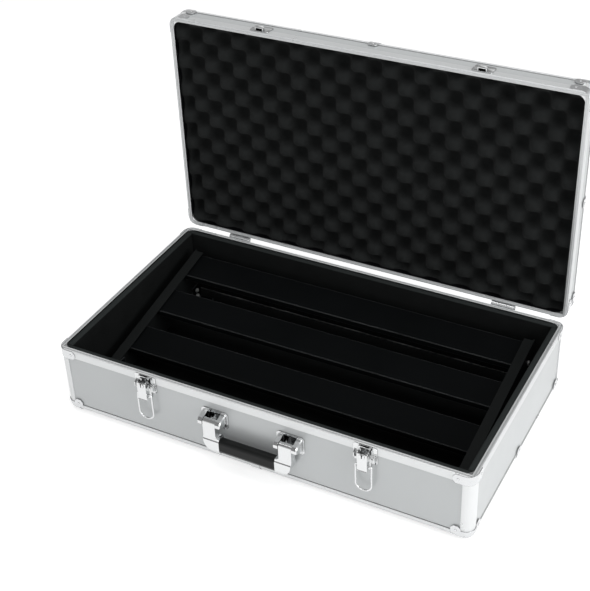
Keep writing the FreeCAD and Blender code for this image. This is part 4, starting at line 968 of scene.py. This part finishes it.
# %% Set the rivets
RIVET = {
    "Head radius": 2.0 * MM, "Head height": 0.8 * MM, "Shank radius": 1.0 * MM, "Shank length": 0.2 * MM,
    "Finish": plated,
}


def set_rivets(name, node, middle):
    """Domed heads in the place of a node's rivets."""
    places, ways = [], []
    for corners, normal in islands_of(nodes[node].data):
        centre = sum(corners, Vector()) / len(corners)
        way = normal if (centre - middle).dot(normal) > 0 else -normal
        top = max(c.dot(way) for c in corners)
        places.append(centre + way * (top - centre.dot(way)) - way * RIVET["Head height"])
        ways.append(way)
    points_mesh = bpy.data.meshes.new(name + "_points")
    points_mesh.from_pydata(places, [], [])
    out = points_mesh.attributes.new("out", "FLOAT_VECTOR", "POINT")
    for i, way in enumerate(ways):
        out.data[i].vector = way
    piece = grow(add_object(name + "_host", points_mesh), head_tree, name, RIVET)
    for polygon in piece.data.polygons:
        polygon.use_smooth = len(polygon.vertices) < 5
    stand_for(piece, node)
    print(name, "heads", len(places), "triangles", triangles_of(piece))


set_rivets("rivets_base", "base_rivets", Vector((0, 0, 0.056)))
set_rivets("rivets_lid", "lid_rivets", Vector((0, 0.205, 0.298)))

# %% [markdown]
# ## Rounded inner corners
# The pressed corners also close the frame's inner corners with a small curved
# web, so that the opening has no sharp corner. A web is a flat plate between
# the corner and a quarter circle, so its outline is worked out and given depth.

# %% A web in a corner
def corner_web(bm, corner, along, aside, rise, radius, thickness):
    """A plate that fills a corner up to a quarter circle."""
    steps = 8
    outline = [corner]
    for i in range(steps + 1):
        a = math.radians(90 * i / steps)
        outline.append(corner + along * (radius * (1 - math.sin(a))) + aside * (radius * (1 - math.cos(a))))
    low = [bm.verts.new(p) for p in outline]
    high = [bm.verts.new(p + rise * thickness) for p in outline]
    bm.faces.new(low)
    bm.faces.new(high)
    for i in range(len(outline)):
        j = (i + 1) % len(outline)
        bm.faces.new((low[i], low[j], high[j], high[i]))


# %% Webs in the corners of the frames
web_radius, web_thickness = 12.0 * MM, 2.4 * MM


def webs(name, node, corners, aside_axis, rise):
    """The four webs of one frame as one piece."""
    bm = bmesh.new()
    for corner, s, t in corners:
        along = Vector((s, 0, 0))
        corner_web(bm, in_mm(corner), along, Vector(aside_axis) * t, Vector(rise), web_radius, web_thickness)
    bmesh.ops.recalc_face_normals(bm, faces=bm.faces)
    piece = add_object(name, mesh_from(bm, name))
    piece.data.materials.append(plated)
    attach(piece, body_of[node])
    print(name, "triangles", triangles_of(piece))


def way_in(place, ends):
    """The direction from one end of an opening towards its middle."""
    return 1 if place == ends[0] else -1


ends_x, base_ends_y, lid_ends_z = (-314.0, 314.0), (-174.0, 174.0), (124.15, 472.15)
base_level, lid_level = 111.3, 185.0
base_corners = [
    ((x, y, base_level), way_in(x, ends_x), way_in(y, base_ends_y)) for x in ends_x for y in base_ends_y]
lid_corners = [
    ((x, lid_level, z), way_in(x, ends_x), way_in(z, lid_ends_z)) for x in ends_x for z in lid_ends_z]
webs("webs_base", "base_rim_corners", base_corners, (0, 1, 0), (0, 0, 1))
webs("webs_lid", "lid_rim_corners", lid_corners, (0, 0, 1), (0, 1, 0))

# %% [markdown]
# ## The floor and the light
# The case stands on a white table in an even, soft light, a little stronger
# from the right. The floor is pale and keeps the shadow; what the camera sees
# behind it is plain white. Metal shows what is around it, so the table glows
# in its mirror image as well.

# %% The floor
floor_tone, glow_to_camera, glow_to_metal = 0.66, 0.56, 0.42
WHITE = (1.0, 1.0, 1.0, 1.0)
floor_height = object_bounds()[0][2]
bpy.ops.mesh.primitive_plane_add(size=40.0, location=(0, 0, 0))
floor = bpy.context.object
floor.name = "floor"
floor.data.transform(Matrix.Translation((0, 0, floor_height)))
floor_material = bpy.data.materials.new("pale_floor")
floor_material.use_nodes = True
tree = floor_material.node_tree
tree.nodes.clear()
path = add_node(tree, "ShaderNodeLightPath").outputs
mirror_ray = math_node(tree, "MAXIMUM", path["Is Glossy Ray"], path["Is Transmission Ray"])
to_camera = math_node(tree, "MULTIPLY", path["Is Camera Ray"], glow_to_camera)
to_metal = math_node(tree, "MULTIPLY", mirror_ray, glow_to_metal)
matt = add_node(tree, "ShaderNodeBsdfDiffuse", {"Color": (floor_tone, floor_tone, floor_tone, 1.0)})
glow = add_node(tree, "ShaderNodeEmission", {
    "Color": WHITE, "Strength": math_node(tree, "MAXIMUM", to_camera, to_metal)})
pale = add_node(tree, "ShaderNodeAddShader", {0: matt.outputs[0], 1: glow.outputs[0]})
add_node(tree, "ShaderNodeOutputMaterial", {"Surface": pale.outputs[0]})
floor.data.materials.append(floor_material)
print("floor at", round(floor_height, 4))

# %% [markdown]
# The room is white to the camera. Metal sees white walls and a ceiling that is
# darker between the lamps, by how far up its ray goes, which gives the chrome
# its dark accents. The room's own light on the case is a plain, even fill.

# %% The white room
fill_strength = 0.5
world = bpy.data.worlds.new("white_room")
bpy.context.scene.world = world
world.use_nodes = True
tree = world.node_tree
tree.nodes.clear()
path = add_node(tree, "ShaderNodeLightPath").outputs
mirror_ray = math_node(tree, "MAXIMUM", path["Is Glossy Ray"], path["Is Transmission Ray"])
ray_way = add_node(tree, "ShaderNodeTexCoord").outputs["Generated"]
height = add_node(tree, "ShaderNodeSeparateXYZ", {0: ray_way}).outputs["Z"]
ceiling = value_between(tree, height, 1.0, 0.25, 0.10, 0.45)
around = add_node(tree, "ShaderNodeBackground", {
    "Color": WHITE, "Strength": math_node(tree, "MAXIMUM", ceiling, path["Is Camera Ray"])})
fill = add_node(tree, "ShaderNodeBackground", {"Color": WHITE, "Strength": fill_strength})
seen = math_node(tree, "MAXIMUM", path["Is Camera Ray"], mirror_ray)
choose = add_node(tree, "ShaderNodeMixShader", {"Fac": seen, 1: fill.outputs[0], 2: around.outputs[0]})
add_node(tree, "ShaderNodeOutputWorld", {"Surface": choose.outputs[0]})


# %% [markdown]
# Three large soft lamps model the shapes: one above, one from the right that
# brightens the side panel, and a weak one in front for the latches.

# %% The lamps
def soft_box(name, place, aim, size, power):
    """A large soft lamp aimed at a point."""
    data = bpy.data.lights.new(name, "AREA")
    data.shape = "RECTANGLE"
    data.size, data.size_y = size
    data.energy = power
    aimed = (Vector(aim) - Vector(place)).to_track_quat("-Z", "Y").to_matrix().to_4x4()
    add_object(name, data).matrix_world = Matrix.Translation(place) @ aimed


soft_box("lamp_above", (0.3, -0.1, 2.4), (0, 0.05, 0.1), (2.2, 2.0), 27.0)
soft_box("lamp_right", (2.4, -0.5, 1.1), (0, 0.0, 0.1), (1.4, 1.4), 33.0)
soft_box("lamp_front", (0.6, -2.6, 1.2), (0.2, 0.0, 0.1), (1.4, 1.2), 10.0)
bpy.context.scene.view_settings.view_transform = "Standard"
print("lamps", [round(light.energy) for light in bpy.data.lights])
